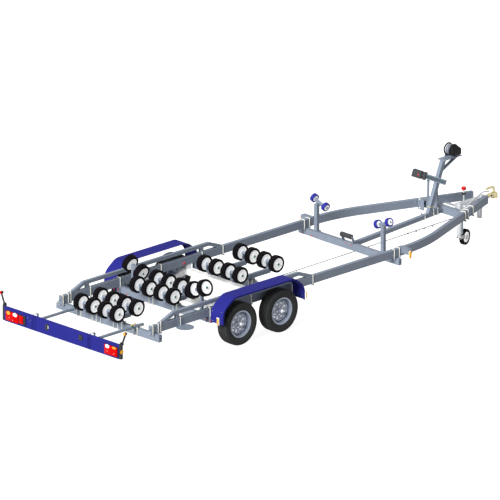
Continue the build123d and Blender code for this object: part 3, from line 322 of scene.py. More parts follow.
def ellipse(cx, cy, rx, ry, count):
    """Points round an ellipse, or a circle where both radii are equal."""
    return [(cx + rx * math.cos(2 * PI * i / count), cy + ry * math.sin(2 * PI * i / count))
            for i in range(count)]


class Build:
    """Gathers shapes into one mesh with several finishes."""

    def __init__(self):
        self.bm = bmesh.new()
        self.finishes = []

    def index(self, finish):
        """Material slot of a finish, added at its first use."""
        if finish not in self.finishes:
            self.finishes.append(finish)
        return self.finishes.index(finish)

    def face(self, verts, index, smooth=True):
        """One face in a material slot."""
        f = self.bm.faces.new(verts)
        f.material_index = index
        f.smooth = smooth

    def add(self, points, faces, where, finish):
        """Points moved by the matrix, and faces given as their indices."""
        vs = [self.bm.verts.new(where @ Vector(p)) for p in points]
        index = self.index(finish)
        for face in faces:
            self.face([vs[k] for k in face], index)

    def lathe(self, profile, where, finish, segments=32, closed=False, wobble=None, ends=True):
        """profile: (radius, along) pairs round local Z. closed joins its last pair to its first;
        ends closes an open one; wobble(angle, radius, along) is added to the radius."""
        points, faces = [], []
        n = len(profile)
        for s in range(segments):
            a = 2 * PI * s / segments
            for r, h in profile:
                r2 = r + (wobble(a, r, h) if wobble else 0.0)
                points.append((r2 * math.cos(a), r2 * math.sin(a), h))
        rows = n if closed else n - 1
        for s in range(segments):
            t = (s + 1) % segments
            for k in range(rows):
                j = (k + 1) % n
                faces.append((s * n + k, t * n + k, t * n + j, s * n + j))
        self.add(points, faces, where, finish)
        if ends and not closed:
            self.cap(points, n, segments, finish)

    def cap(self, points, n, segments, finish):
        """Closes a lathe's two ends when they stop at a radius above 0."""
        self.bm.verts.ensure_lookup_table()
        start = len(self.bm.verts) - len(points)
        for k, order in ((0, 1), (n - 1, -1)):
            if math.hypot(points[k][0], points[k][1]) > 1e-5:
                ring = [self.bm.verts[start + s * n + k] for s in range(segments)][::-order]
                self.face(ring, self.index(finish))

    def prism(self, outline, depth, where, finish, bevel=0.0):
        """Closed outline in local XY, depth along +Z from 0, edges softened by bevel."""
        n = len(outline)
        if bevel:
            cx = sum(p[0] for p in outline) / n
            cy = sum(p[1] for p in outline) / n
            inset = []
            for x, y in outline:
                d = math.hypot(x - cx, y - cy) or 1
                inset.append((x - (x - cx) / d * bevel, y - (y - cy) / d * bevel))
            layers = [(inset, 0.0), (outline, bevel), (outline, depth - bevel), (inset, depth)]
        else:
            layers = [(outline, 0.0), (outline, depth)]
        points = [(x, y, z) for loop, z in layers for (x, y) in loop]
        faces = []
        for layer in range(len(layers) - 1):
            for k in range(n):
                j = (k + 1) % n
                a, b = layer * n, (layer + 1) * n
                faces.append((a + k, a + j, b + j, b + k))
        faces.append(tuple(range(n))[::-1])
        faces.append(tuple((len(layers) - 1) * n + k for k in range(n)))
        self.add(points, faces, where, finish)

    def box(self, low, high, finish, bevel=0.0015, where=UPRIGHT):
        """Box between two corners with softened edges."""
        low, high = Vector(low), Vector(high)
        size = high - low
        b = min(bevel, min(size) * 0.4)
        corners = ((b, b, PI), (size.x - b, b, 1.5 * PI), (size.x - b, size.y - b, 0.0),
                   (b, size.y - b, 0.5 * PI))
        outline = []
        for x, y, a0 in corners:
            for s in range(3):
                a = a0 + s * PI / 4
                outline.append((x + b * math.cos(a), y + b * math.sin(a)))
        self.prism(outline, size.z, where @ Matrix.Translation(low), finish, bevel=b * 0.8)

    def hexagon(self, where, across, height, finish, bevel=0.0006):
        """Nut or bolt head standing on local Z=0."""
        r = across / 2 / math.cos(PI / 6)
        outline = [(r * math.cos(PI / 3 * k), r * math.sin(PI / 3 * k)) for k in range(6)]
        self.prism(outline, height, where, finish, bevel)

    def bolt(self, where, finish, across=0.017, stud=0.006):
        """Hexagon on a washer, with the thread's end standing out."""
        washer = [(across * 0.68, 0.0), (across * 0.68, 0.0016), (across * 0.4, 0.0018)]
        self.lathe(washer, where, finish, 20)
        top = across * 0.5
        self.hexagon(where @ Matrix.Translation((0, 0, 0.0014)), across, top, finish)
        if stud:
            thread = [(across * 0.29, top), (across * 0.29, top + stud),
                      (across * 0.2, top + stud + 0.001)]
            self.lathe(thread, where, finish, 12)

    def tube(self, path, radius, finish, segments=10, closed=False):
        """Round bar along a smooth path of points."""
        path = [Vector(p) for p in path]
        n = len(path)
        tangents = []
        for i in range(n):
            if closed:
                t = path[(i + 1) % n] - path[i - 1]
            else:
                t = path[min(i + 1, n - 1)] - path[max(i - 1, 0)]
            tangents.append(t.normalized())
        normal = tangents[0].orthogonal().normalized()
        rings = []
        index = self.index(finish)
        for i in range(n):
            normal = (normal - tangents[i] * normal.dot(tangents[i])).normalized()
            side = tangents[i].cross(normal)
            ring = []
            for s in range(segments):
                a = 2 * PI * s / segments
                ring.append(self.bm.verts.new(path[i] + normal * (radius * math.cos(a))
                                              + side * (radius * math.sin(a))))
            rings.append(ring)
        pairs = [(i, i + 1) for i in range(n - 1)] + ([(n - 1, 0)] if closed else [])
        for i, j in pairs:
            for s in range(segments):
                t = (s + 1) % segments
                self.face((rings[i][s], rings[i][t], rings[j][t], rings[j][s]), index)
        if not closed:
            for loop in (rings[0][::-1], rings[-1]):
                self.face(loop, index, smooth=False)

    def data(self, name, angle=35.0):
        """The mesh, sharp where faces meet at more than the angle in degrees."""
        bmesh.ops.recalc_face_normals(self.bm, faces=self.bm.faces)
        mesh = bpy.data.meshes.new(name)
        self.bm.to_mesh(mesh)
        self.bm.free()
        for finish in self.finishes:
            mesh.materials.append(finish)
        mesh.set_sharp_from_angle(angle=math.radians(angle))
        return mesh


def piece(name, mesh, body, replaces=(), where=None):
    """Puts a Build or a mesh in the scene, riding a body and replacing CAD nodes."""
    if isinstance(mesh, Build):
        mesh = mesh.data(name)
    o = bpy.data.objects.new(name, mesh)
    bpy.context.scene.collection.objects.link(o)
    if where is not None:
        o.matrix_world = where
    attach(o, body)
    if replaces:
        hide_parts(*replaces)


def bend(points, radius, steps=5):
    """Polyline with rounded corners."""
    points = [Vector(p) for p in points]
    out = [points[0]]
    for a, b, c in zip(points, points[1:], points[2:]):
        u, v = (a - b), (c - b)
        r = min(radius, u.length * 0.45, v.length * 0.45)
        p, q = b + u.normalized() * r, b + v.normalized() * r
        for s in range(steps + 1):
            t = s / steps
            out.append(p.lerp(b, t).lerp(b.lerp(q, t), t))
    out.append(points[-1])
    return out


# ------------------------------------------------------------------ boat rollers
GROOVES = (0.28, 0.62)                  # where they lie, as shares of half a roller's width
GROOVE_DEPTH = 0.0022


def roller(build, where, radius, width, rim, rubber, dish=0.009, ribs=10, segments=56):
    """One roller round local Z: square-shouldered grooved tyre, dished and ribbed hub on both
    faces. rim is where tyre and hub meet; the hub's web lies dish below the tyre's face."""
    h = width / 2
    half = [(rim, 0.0035), (rim + 0.003, 0.0005), (radius - 0.006, 0.0), (radius - 0.002, 0.0012),
            (radius - 0.0004, 0.0045)]
    for groove in GROOVES:
        d = h * groove
        half += [(radius, d - 0.0018), (radius - GROOVE_DEPTH, d - 0.0008),
                 (radius - GROOVE_DEPTH, d + 0.0008), (radius, d + 0.0018)]
    profile = [(r, d - h) for r, d in half] + [(r, h - d) for r, d in half[::-1]]
    build.lathe(profile, where, rubber, segments, ends=False)
    web = h - dish
    disc = [(rim + 0.001, h - 0.006), (rim - 0.003, h - 0.0025), (rim - 0.010, h - 0.003),
            (rim - 0.014, web), (rim * 0.42, web - 0.001), (rim * 0.36, h - 0.005),
            (rim * 0.22, h - 0.003), (0.0, h - 0.003)]
    for flip in (UPRIGHT, spun(PI, "X")):
        face = where @ flip
        build.lathe(disc, face, white_hub_glow, segments)
        for k in range(ribs):
            a = 360.0 * k / ribs
            build.box((rim * 0.38, -0.0022, web - 0.003), (rim - 0.011, 0.0022, web + 0.0035),
                      white_hub_glow, 0.001, face @ spun(math.radians(a)))
            # Thin dark discs on the web paint the shade of the hub's holes.
            shade_disc = (face @ spun(math.radians(a + 180.0 / ribs))
                    @ Matrix.Translation((rim * 0.66, 0, web - 0.0012)))
            build.prism(ellipse(0, 0, rim * 0.085, rim * 0.05, 10), 0.0008, shade_disc, recess_shade)


def roller_pair(name, apart, *sizes, **details):
    """Mesh of two rollers on one axle along Y, each that far from the middle."""
    build = Build()
    for offset in (-apart, apart):
        roller(build, place(y=offset) @ ALONG_Y, *sizes, **details)
    return build.data(name)


def end_nuts(build, reach, across, where=UPRIGHT):
    """Nut on a washer on both ends of an axle along local Y, past the rollers' faces."""
    washer = [(across * 0.72, 0.0), (across * 0.72, 0.0014), (across * 0.5, 0.0016)]
    tip = [(across * 0.34, 0.0107), (across * 0.32, 0.0125), (0.0, 0.0128)]
    for turned in (0, 180):
        end = where @ spun(math.radians(turned)) @ place(y=reach) @ ALONG_Y
        build.lathe(washer, end, axle_washer, 24)
        build.hexagon(end @ Matrix.Translation((0, 0, 0.0012)), across, 0.0095, green_bolt, 0.0008)
        build.lathe(tip, end, green_bolt, 16, ends=False)


BLACK_ROLLER = (0.120, 0.085, 0.088, black_rubber)      # radius, width, rim, tyre
BLUE_ROLLER = (0.063, 0.056, 0.044, blue_roller)
BLACK_NUT, BLUE_NUT = 0.024, 0.018      # across flats
ROCKER_Y, ROCKER_Z = 0.238, 0.655       # where a rocker's roller axles are
BOSS_RADIUS = 0.0195                    # round the axle, beside the hanger
# row, station of its rockers, half the distance between a rocker's axles
ROWS = [("rear", -1.830, 0.185), ("middle", -0.760, 0.185), ("front", 0.690, 0.3475)]
# hanger from a roller's axle down to the rocker's beam: y, z
HANGER = [(0.058, 0.0), (0.067, 0.0), (0.067, -0.085), (0.026, -0.138), (0.0202, -0.138),
          (0.0202, -0.132), (0.058, -0.082)]
pair_mesh = roller_pair("roller_pair", 0.119, *BLACK_ROLLER)
for row, station, half in ROWS:
    for side, sign in SIDES:
        for end, step in (("aft", -half), ("fore", half)):
            name = f"rollers_{row}_{side}_{end}"
            piece(name + "_dressed", pair_mesh, name, (name,),
                  place(at(station + step), sign * ROCKER_Y, ROCKER_Z))
        hardware = Build()
        for step in (-half, half):
            end_nuts(hardware, 0.1628, BLACK_NUT, place(x=step))
            hardware.prism(ellipse(0, 0, BOSS_RADIUS, BOSS_RADIUS, 28), 0.009,
                           place(x=step, y=0.058) @ ALONG_Y, galvanised, 0.001)
            hardware.prism([(-z, y) for y, z in HANGER], 0.036, place(x=step - 0.018) @ ALONG_X,
                           galvanised)
        piece(f"rocker_hardware_{row}_{side}", hardware, f"rocker_{row}_{side}", (),
              place(at(station), sign * ROCKER_Y, ROCKER_Z))


SIDE_Y, SIDE_TILT = 0.632, 20           # side rollers: distance from the middle, degrees
BOGIE_AXLE = (-0.712, 0.775)            # station, height
GUIDE_AXLE = (2.850, 0.885)


def side_spot(axle, sign):
    """Middle of a side's pair of rollers, tilted to suit the hull."""
    station, z = axle
    return place(at(station), sign * SIDE_Y, z, rx=sign * SIDE_TILT)


bogie_mesh = roller_pair("bogie_pair", 0.1185, *BLACK_ROLLER)
guide_mesh = roller_pair("guide_pair", 0.118, *BLUE_ROLLER, dish=0.006, ribs=6, segments=44)
side_nuts = Build()
for sign in (1, -1):
    end_nuts(side_nuts, 0.1622, BLACK_NUT, side_spot(BOGIE_AXLE, sign))
    end_nuts(side_nuts, 0.1475, BLUE_NUT, side_spot(GUIDE_AXLE, sign))
piece("side_roller_nuts", side_nuts, "chassis")
for side, sign in SIDES:
    for kind, mesh, axle in (("bogie", bogie_mesh, BOGIE_AXLE), ("guide", guide_mesh, GUIDE_AXLE)):
        name = f"{kind}_rollers_{side}"
        piece(name + "_dressed", mesh, name, (name,), side_spot(axle, sign))


# ------------------------------------------------------------------ road wheels
WHEEL_Y, WHEEL_Z = 1.060, 0.3075
AXLE_STATION = 0.395                    # front axle's; the rear one's is the negative
TREAD_STEPS = 240                       # round the tyre, four to a block
TREAD_FROM, RIBS_FROM = 0.300, 0.303    # radii below which the tyre is plain
SHOULDER = (0.056, 0.083)               # the blocks' ends, along the axle
RIBS_HALF = 0.046
BLOCK_DEPTH, CUT_DEPTH = 0.0055, 0.003


def tread(a, r, h):
    """Blocks across the shoulders and fine cuts in the ribs, as a change of the radius."""
    if r < TREAD_FROM:
        return 0.0
    step = (a / (2 * PI) * TREAD_STEPS + (60 if h > 0 else 61)) % 4
    if SHOULDER[0] < abs(h) < SHOULDER[1]:
        return -BLOCK_DEPTH if step < 1.5 else 0.0
    if abs(h) < RIBS_HALF and r > RIBS_FROM:
        return -CUT_DEPTH if 1.5 < (step + abs(h) * 60) % 4 < 2.6 else 0.0
    return 0.0


# half of the tyre's section, from the bead to the tread's middle: along the axle, radius
HALF_TYRE = [(0.0675, 0.1900), (0.0700, 0.1945), (0.0725, 0.2000), (0.0785, 0.2090),
             (0.0800, 0.2125), (0.0825, 0.2135), (0.0870, 0.2270), (0.0905, 0.2420),
             (0.0922, 0.2560), (0.0915, 0.2700), (0.0888, 0.2830), (0.0845, 0.2925),
             (0.0830, 0.2985), (0.0790, 0.3025), (0.0730, 0.3045), (0.0640, 0.3056),
             (0.0560, 0.3062), (0.0550, 0.3060), (0.0545, 0.2990), (0.0480, 0.2990),
             (0.0475, 0.3062), (0.0350, 0.3068), (0.0210, 0.3072), (0.0205, 0.3000),
             (0.0140, 0.3000), (0.0135, 0.3073), (0.0, 0.3075)]
wheel = Build()
wheel.lathe([(r, -h) for h, r in HALF_TYRE] + [(r, h) for h, r in HALF_TYRE[-2::-1]], ALONG_Y,
            road_rubber, TREAD_STEPS, wobble=tread, ends=False)
wheel.lathe([(0.1900, 0.0675), (0.1860, 0.0600), (0.1860, -0.0600), (0.1900, -0.0675)], ALONG_Y,
            road_rubber, 96, ends=False)
tyre_mesh = wheel.data("road_tyre", 40)

LUG_NUTS, LUG_CIRCLE, DISC_Y = 5, 0.056, 0.030
VENTS, VENT_CIRCLE, VENT_Y = 8, 0.103, 0.0135
VALVE_CIRCLE, VALVE_AT = 0.158, 0.6     # radius, radians
# turned profiles on the wheel's face: radius, along
NUT_SEAT = [(0.012, 0.0), (0.012, 0.002), (0.009, 0.004)]
NUT_CROWN = [(0.0075, 0.013), (0.006, 0.0175), (0.003, 0.019), (0.0, 0.0192)]
VENT = [(0.0125, 0.0), (0.0125, 0.0045), (0.0105, 0.0065), (0.0, 0.0068)]
HUB_CAP = [(0.0, 0.009), (0.010, 0.0087), (0.019, 0.0070), (0.0235, 0.003), (0.0240, -0.001)]
RIM_EDGE = [(0.1785, 0.0702), (0.1830, 0.0714), (0.1925, 0.0764), (0.1950, 0.0756),
            (0.1950, 0.0724)]
VALVE = [(0.006, -0.004), (0.006, 0.006), (0.004, 0.010), (0.004, 0.026), (0.0, 0.027)]
for end, station in (("rear", -AXLE_STATION), ("front", AXLE_STATION)):
    for side, sign in SIDES:
        body = f"wheel_{end}_{side}"
        spot = place(at(station), sign * WHEEL_Y, WHEEL_Z, rz=0 if sign > 0 else 180)
        piece(f"road_tyre_{end}_{side}", tyre_mesh, body, (f"tyre_{end}_{side}",), spot)
        low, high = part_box(f"rim_{end}_{side}")
        out_face = (high.y - WHEEL_Y) if sign > 0 else (-low.y - WHEEL_Y)
        trim = Build()
        for k in range(LUG_NUTS):
            nut = spun(2 * PI * k / LUG_NUTS, "Y") @ place(x=LUG_CIRCLE, y=DISC_Y) @ ALONG_Y
            trim.hexagon(nut, 0.019, 0.014, bright_zinc, 0.001)
            trim.lathe(NUT_SEAT, nut, bright_zinc, 16)
            trim.lathe(NUT_CROWN, nut, bright_zinc, 12)
        for k in range(VENTS):
            vent = (spun(math.radians(360 / VENTS * (k + 0.5)), "Y")
                    @ place(x=VENT_CIRCLE, y=VENT_Y) @ ALONG_Y)
            trim.lathe(VENT, vent, white_hub_glow, 18, ends=False)
        trim.lathe([(r, out_face + h) for r, h in HUB_CAP], ALONG_Y, white_hub_glow, 32, ends=False)
        trim.lathe([(0.0240, out_face + 0.0004), (0.0315, out_face - 0.001),
                    (0.0333, out_face - 0.006), (0.0333, DISC_Y)], ALONG_Y, rim_silver, 32,
                   ends=False)
        trim.lathe(RIM_EDGE, ALONG_Y, rim_silver, 72, ends=False)
        valve = spun(VALVE_AT, "Y") @ place(x=VALVE_CIRCLE, y=DISC_Y) @ ALONG_Y
        trim.lathe(VALVE, valve, black_moulding, 12)
        piece(f"wheel_trim_{end}_{side}", trim, body, (), spot)


# ------------------------------------------------------------------ U-bolts and bolts
ROD = 0.006                             # radius of a U-bolt's bar
GAP = 0.0004                            # between the bar and what it goes round
LEG_PAST = 0.022                        # how far a leg reaches past the rail
STRAP_DROP = 0.0075                     # a strap's underside below the rail's
RAIL_IN, RAIL_OUT, RAIL_TOP, RAIL_LOW = 0.8655, 0.9255, 0.583, 0.463


def u_bolt(build, first, second, ends, crown, rod=ROD, corner=0.014, where=UPRIGHT):
    """Bar along one leg at the first (x, y) to the crown's height and back along the second;
    both legs end at the height of ends."""
    path = bend([(*first, ends), (*first, crown), (*second, crown), (*second, ends)], corner)
    build.tube([where @ p for p in path], rod, bright_zinc)


def leg_nut(build, where):
    """Large zinc nut, as on the legs of the U-bolts."""
    build.bolt(where, bright_zinc, across=0.018, stud=0.004)


def bolts_back(build, x, spots, finish, across, stud=0.0, where=UPRIGHT):
    """Bolts with their heads to the back, on the plane at x: y, z of each."""
    for y, z in spots:
        build.bolt(where @ place(x, y, z, ry=-90), finish, across, stud)


def over_rail(build, x, sign, top):
    """U-bolt over a side rail at station x, legs down both sides to nuts below a strap."""
    a, b = sign * (RAIL_IN - ROD - GAP), sign * (RAIL_OUT + ROD + GAP)
    u_bolt(build, (at(x), a), (at(x), b), RAIL_LOW - LEG_PAST, top + ROD + GAP)
    build.box((at(x) - 0.019, min(a, b) - 0.016, RAIL_LOW - STRAP_DROP),
              (at(x) + 0.019, max(a, b) + 0.016, RAIL_LOW - 0.0005), galvanised)
    for y in (a, b):
        leg_nut(build, place(at(x), y, RAIL_LOW - STRAP_DROP, rx=180))


clamps = Build()
# station, top of what the U-bolt goes over
RAIL_BOLTS = [(-1.884, RAIL_TOP), (-1.7815, RAIL_TOP), (-1.736, 0.617), (-1.358, RAIL_TOP),
              (-0.790, RAIL_TOP), (0.000, RAIL_TOP), (0.789, RAIL_TOP), (1.190, RAIL_TOP),
              (2.770, RAIL_TOP), (2.869, RAIL_TOP)]
for sign in (1, -1):
    for x, top in RAIL_BOLTS:
        over_rail(clamps, x, sign, top)
DRAWBAR_BEND = 21.1                     # degrees between a drawbar rail and the trailer's axis
LEG_Y = 0.0366                          # a leg's distance from the drawbar rail's middle line
STRAP_Z = (0.4555, 0.4625)
for x in (4.610, 4.700, 4.855):         # over the right drawbar rail, by the jockey wheel
    y = -(0.7385 - (x - 3.792) * math.tan(math.radians(DRAWBAR_BEND)))
    where = place(at(x), y, 0.0, rz=DRAWBAR_BEND)
    u_bolt(clamps, (0, -LEG_Y), (0, LEG_Y), 0.438, 0.5896, where=where)
    clamps.box((-0.019, -0.053, STRAP_Z[0]), (0.019, 0.053, STRAP_Z[1]), galvanised, where=where)
    for leg in (-LEG_Y, LEG_Y):
        leg_nut(clamps, where @ place(0, leg, STRAP_Z[0], rx=180))
piece("rail_clamps", clamps, "chassis")

# round a crossmember, holding roller brackets and beams: station, distances from the middle,
# top of what they hold
CROSS_BOLTS = [(-1.830, (0.127, 0.214, 0.296), 0.4695), (-1.830, (0.521, 0.600), 0.4635),
               (-0.760, (0.200, 0.276), 0.4695), (0.690, (0.200, 0.276), 0.4695)]
CROSS_HALF, CROSS_LOW = 0.0302, 0.363   # half the crossmember's width, its underside
cross_bolts = Build()
for x, distances, top in CROSS_BOLTS:
    a, b = at(x) - CROSS_HALF - ROD, at(x) + CROSS_HALF + ROD
    for sign in (1, -1):
        for y in distances:
            u_bolt(cross_bolts, (a, sign * y), (b, sign * y), top + 0.020, CROSS_LOW - ROD)
            for leg in (a, b):
                leg_nut(cross_bolts, place(leg, sign * y, top + 0.0005))
piece("crossmember_clamps", cross_bolts, "chassis")


# ------------------------------------------------------------------ fittings on the frame
# clamps with toggle levers on the light board's tubes, caps on the tubes' front ends, red bolts
# on the second crossmember, a tie-down ring on the left
TUBE_Y, TUBE_Z = 0.567, 0.489
SECOND_CROSSMEMBER = at(-0.760)
fittings = Build()
for sign in (1, -1):
    y = sign * TUBE_Y
    fittings.lathe([(0.0214, 0.0), (0.027, 0.001), (0.027, 0.029), (0.0214, 0.030)],
                   place(at(-1.972), y, TUBE_Z) @ ALONG_X, galvanised, 28, closed=True)
    fittings.bolt(place(at(-1.957), y, 0.515), green_bolt, across=0.016, stud=0.0)
    fittings.box((at(-1.968), y - 0.032, 0.496), (at(-1.948), y - 0.0215, 0.520), green_bolt,
                 0.001)
    lever = bend([(at(-1.957), y - 0.006, 0.516), (at(-1.950), y - 0.006, 0.528),
                  (at(-1.865), y - 0.006, 0.532)], 0.01)
    fittings.tube(lever, 0.0075, gold)
    fittings.lathe([(0.0214, 0.0), (0.026, 0.0), (0.026, 0.0032), (0.012, 0.0034),
                    (0.012, 0.0045), (0.0, 0.0046)],
                   place(at(-1.7255), y, TUBE_Z) @ ALONG_X, bright_zinc, 28, ends=False)
    bolts_back(fittings, SECOND_CROSSMEMBER - 0.0303, [(sign * 0.711, 0.390)], red_bolt, 0.015)
    bolts_back(fittings, SECOND_CROSSMEMBER - 0.0505,
               [(sign * 0.880, 0.421), (sign * 0.958, 0.410)], red_bolt, 0.015)
    if sign > 0:
        ring = [(at(-1.900), y, z) for y, z in ellipse(0.962, 0.492, 0.022, 0.022, 24)]
        fittings.tube(ring, 0.0045, bright_zinc, 8, closed=True)
piece("frame_fittings", fittings, "chassis")

# pale bases with amber lenses behind the mudguards, in front of them and on the brackets by
# the front crossmember: two stations, two distances from the middle, two heights
SIDE_LAMPS = [(-0.7945, -0.7905, 1.066, 1.112, 0.374, 0.484, white_hub_glow),
              (-0.8060, -0.7940, 1.078, 1.108, 0.384, 0.474, amber_glow),
              (-0.8030, -0.7940, 1.080, 1.104, 0.374, 0.3845, black_moulding),
              (0.7905, 0.7960, 1.150, 1.203, 0.405, 0.512, white_hub_glow),
              (0.7955, 0.8180, 1.155, 1.203, 0.410, 0.507, amber_glow),
              (2.9110, 2.9490, 1.0705, 1.0760, 0.455, 0.567, white_hub_glow),
              (2.9140, 2.9460, 1.0755, 1.0940, 0.460, 0.562, amber_glow)]
side_lamps = Build()
for sign in (1, -1):
    for x0, x1, y0, y1, z0, z1, finish in SIDE_LAMPS:
        low_y, high_y = sorted((sign * y0, sign * y1))
        side_lamps.box((at(x0), low_y, z0), (at(x1), high_y, z1), finish, 0.004)
    # through the mudguards' legs
    bolts_back(side_lamps, at(0.7868), [(sign * 1.048, 0.451), (sign * 1.136, 0.445)],
               green_bolt, 0.013)
    bolts_back(side_lamps, at(-0.7903),
               [(sign * 1.161, 0.578), (sign * 0.983, 0.418), (sign * 0.983, 0.560)],
               galvanised, 0.010)
for x, z in ((0.434, 0.500), (0.456, 0.508)):           # on the left rail's inner face
    side_lamps.bolt(place(at(x), RAIL_IN, z, rx=90), red_bolt, across=0.018, stud=0.0)
bolts_back(side_lamps, at(2.7850), [(0.049, 0.4425), (-0.049, 0.4425), (0.731, 0.385)],
           red_bolt, 0.016)             # on the front crossmember
side_lamps.box((at(2.7815), 0.622, 0.368), (at(2.7852), 0.700, 0.461), galvanised, 0.001)
piece("side_lamps", side_lamps, "chassis", ("marker_lamps",))


# ------------------------------------------------------------------ light board
BOARD = at(-2.735)                      # the board's rear face
LAMP_LOW, LAMP_TOP = 0.390, 0.530
SHEET_LOW, SHEET_TOP = 0.3612, 0.5768
BRACKET_LOW, BRACKET_TOP = 0.5772, 0.5812
ON_SHEET = BOARD - 0.0002               # plane where bolt heads stand on the sheet
STALK_X, STALK_Y, STALK_Z = BOARD + 0.034, 1.232, 0.744    # middle of a marker lamp's head


def on_board(build, x, y, z, finish, bevel=0.001):
    """Box on the light board: range of x from its rear face, range of y, range of z."""
    build.box((BOARD + x[0], y[0], z[0]), (BOARD + x[1], y[1], z[1]), finish, bevel)


FLUTES = 7                              # upright lines on a red lens
lamps = Build()
for y0, y1 in ((0.8375, 1.0955), (-1.1305, -0.8705)):   # the left lamp, the right lamp
    on_board(lamps, (-0.012, -0.0005), (y0, y1), (LAMP_LOW, LAMP_TOP), black_moulding, 0.003)
    on_board(lamps, (-0.027, -0.012), (y0 + 0.003, y1 - 0.003),
             (LAMP_LOW + 0.003, LAMP_TOP - 0.003), red_lens, 0.008)
    for k in range(FLUTES):
        y = y0 + 0.018 + k * (y1 - y0 - 0.036) / (FLUTES - 1)
        on_board(lamps, (-0.0278, -0.0266), (y - 0.0012, y + 0.0012),
                 (LAMP_LOW + 0.012, LAMP_LOW + 0.060), red_lens, 0.0004)
# oval lenses: y, z, half height, half width, finish
for y, z, high, wide, finish in ((1.036, 0.505, 0.027, 0.037, amber_lens),
                                 (0.905, 0.506, 0.027, 0.043, white_lens),
                                 (-0.937, 0.508, 0.027, 0.041, white_lens),
                                 (-1.070, 0.512, 0.0165, 0.039, amber_lens)):
    lamps.prism(ellipse(0, 0, high, wide, 32), 0.0024, place(BOARD - 0.0248, y, z, ry=-90),
                finish, 0.0010)
SCREW = [(0.0045, 0.0), (0.0045, 0.0012), (0.0, 0.0018)]
for y, z in ((1.020, 0.440), (0.955, 0.418), (-0.935, 0.440), (-1.065, 0.430)):
    lamps.lathe(SCREW, place(BOARD - 0.0261, y, z, ry=-90), white_lens, 14, ends=False)
# the small lamp beside the left one
on_board(lamps, (-0.016, -0.0005), (0.7125, 0.8325), (0.397, 0.528), black_moulding, 0.004)
on_board(lamps, (-0.026, -0.016), (0.748, 0.828), (0.408, 0.518), red_lens, 0.006)
# marker lenses on both faces of the stalks' heads
MARKER = [(0.0215, 0.0), (0.0215, 0.006), (0.019, 0.0095), (0.011, 0.0125), (0.0, 0.0132)]
for sign in (1, -1):
    for turned, finish in ((-90, red_lens if sign > 0 else amber_lens), (90, amber_lens)):
        head = (place(STALK_X, sign * STALK_Y, STALK_Z, ry=turned)
                @ Matrix.Translation((0, 0, 0.0141)))
        lamps.lathe(MARKER, head, finish, 28)
piece("tail_lamp_clusters", lamps, "light_board", ("tail_lamps",))

board = Build()
# joints of the three sheets, near each tube: ribs, and bolts between them
for sign in (1, -1):
    for y in (sign * 0.520, sign * 0.560, sign * 0.585):
        on_board(board, (-0.0035, 0.0005), (y - 0.0035, y + 0.0035), (SHEET_LOW, SHEET_TOP),
                 blue_edge)
    bolts_back(board, ON_SHEET, [(sign * 0.540, 0.401), (sign * 0.540, 0.541)], shaded_steel,
               0.007)
# bracket from the sheet's top edge down to each tube, and a strip on the sheet below it
for y in (0.592, -0.540):
    on_board(board, (-0.0012, 0.105), (y - 0.006, y + 0.006), (BRACKET_LOW, BRACKET_TOP),
             galvanised)
    on_board(board, (0.101, 0.105), (y - 0.030, y + 0.006), (0.508, BRACKET_TOP), galvanised)
    on_board(board, (0.060, 0.105), (y - 0.030, y - 0.0062), (BRACKET_LOW, BRACKET_TOP),
             galvanised)
    on_board(board, (-0.0048, -0.0004), (y - 0.0055, y + 0.0055), (0.3615, SHEET_TOP), blue_edge)
# bolt heads beside the left lamp
bolts_back(board, ON_SHEET, [(0.672, 0.516), (0.612, 0.496), (0.640, 0.468)], galvanised, 0.008)
# black plug on the right of the middle
on_board(board, (-0.013, -0.0002), (-0.426, -0.350), (0.458, 0.529), black_moulding, 0.011)
# liner of the see-through slot
for y0, y1, z0, z1 in ((0.297, 0.325, 0.430, 0.517), (0.261, 0.2972, 0.500, 0.517),
                       (0.261, 0.2972, 0.430, 0.446), (0.261, 0.264, 0.430, 0.517)):
    on_board(board, (-0.0016, 0.0205), (y0 + 0.0003, y1 - 0.0003), (z0 + 0.0003, z1 - 0.0003),
             black_moulding)
# amber round reflector on the right-hand end cap
board.lathe([(0.030, 0.0), (0.030, 0.0015), (0.027, 0.0028), (0.0, 0.0030)],
            place(BOARD + 0.020, -1.1805, 0.470, rx=90), amber_glow, 28)
piece("board_fittings", board, "light_board")


# ------------------------------------------------------------------ winch, post, bow stop
LEAN = math.radians(21.4)


def on_post(height, ahead=0.0):
    """X of a point on the leaning winch post's middle line, or that far ahead of the line."""
    return at(4.354) + math.tan(LEAN) * (height - 0.529) + ahead / math.cos(LEAN)


# the strap's layers between the drum's two flanges: radius, along
TURNS, WOUND_FROM, WOUND_WIDTH = 15, -0.0305, 0.1010
BORE, FLANGE, STRIPE = 0.0115, 0.092, 0.0748            # radii on the drum
drum = Build()
axis = place(at(4.808), 0, 1.351) @ ALONG_Y
for y0, y1 in ((0.071, 0.076), (-0.036, -0.031)):
    drum.lathe([(BORE, y0), (FLANGE - 0.004, y0), (FLANGE, y0 + 0.0012), (FLANGE, y1 - 0.0012),
                (FLANGE - 0.004, y1), (BORE, y1)], axis, winch_black, 56, closed=True)
wound = []
for k in range(TURNS):
    low_y = WOUND_FROM + k * WOUND_WIDTH / TURNS
    wound += [(0.0725, low_y), (0.0742, low_y + 0.0014), (0.0742, low_y + 0.0050),
              (0.0725, low_y + 0.0062)]
drum.lathe(wound, axis, strap_grey, 56, ends=False)
for y0, y1 in ((0.018, 0.026), (0.050, 0.062)):         # pale stripes
    drum.lathe([(STRIPE, y0), (STRIPE, y1)], axis, pale_zinc, 56, ends=False)
piece("winch_drum_wound", drum, "winch_drum", ("winch_drum",))

STOP_Z = 0.988                          # height of the bow stop
bow = Build()
face = on_post(STOP_Z, -0.030) - 0.0058
tilt = Matrix.Translation((face, 0, STOP_Z)) @ spun(LEAN, "Y")
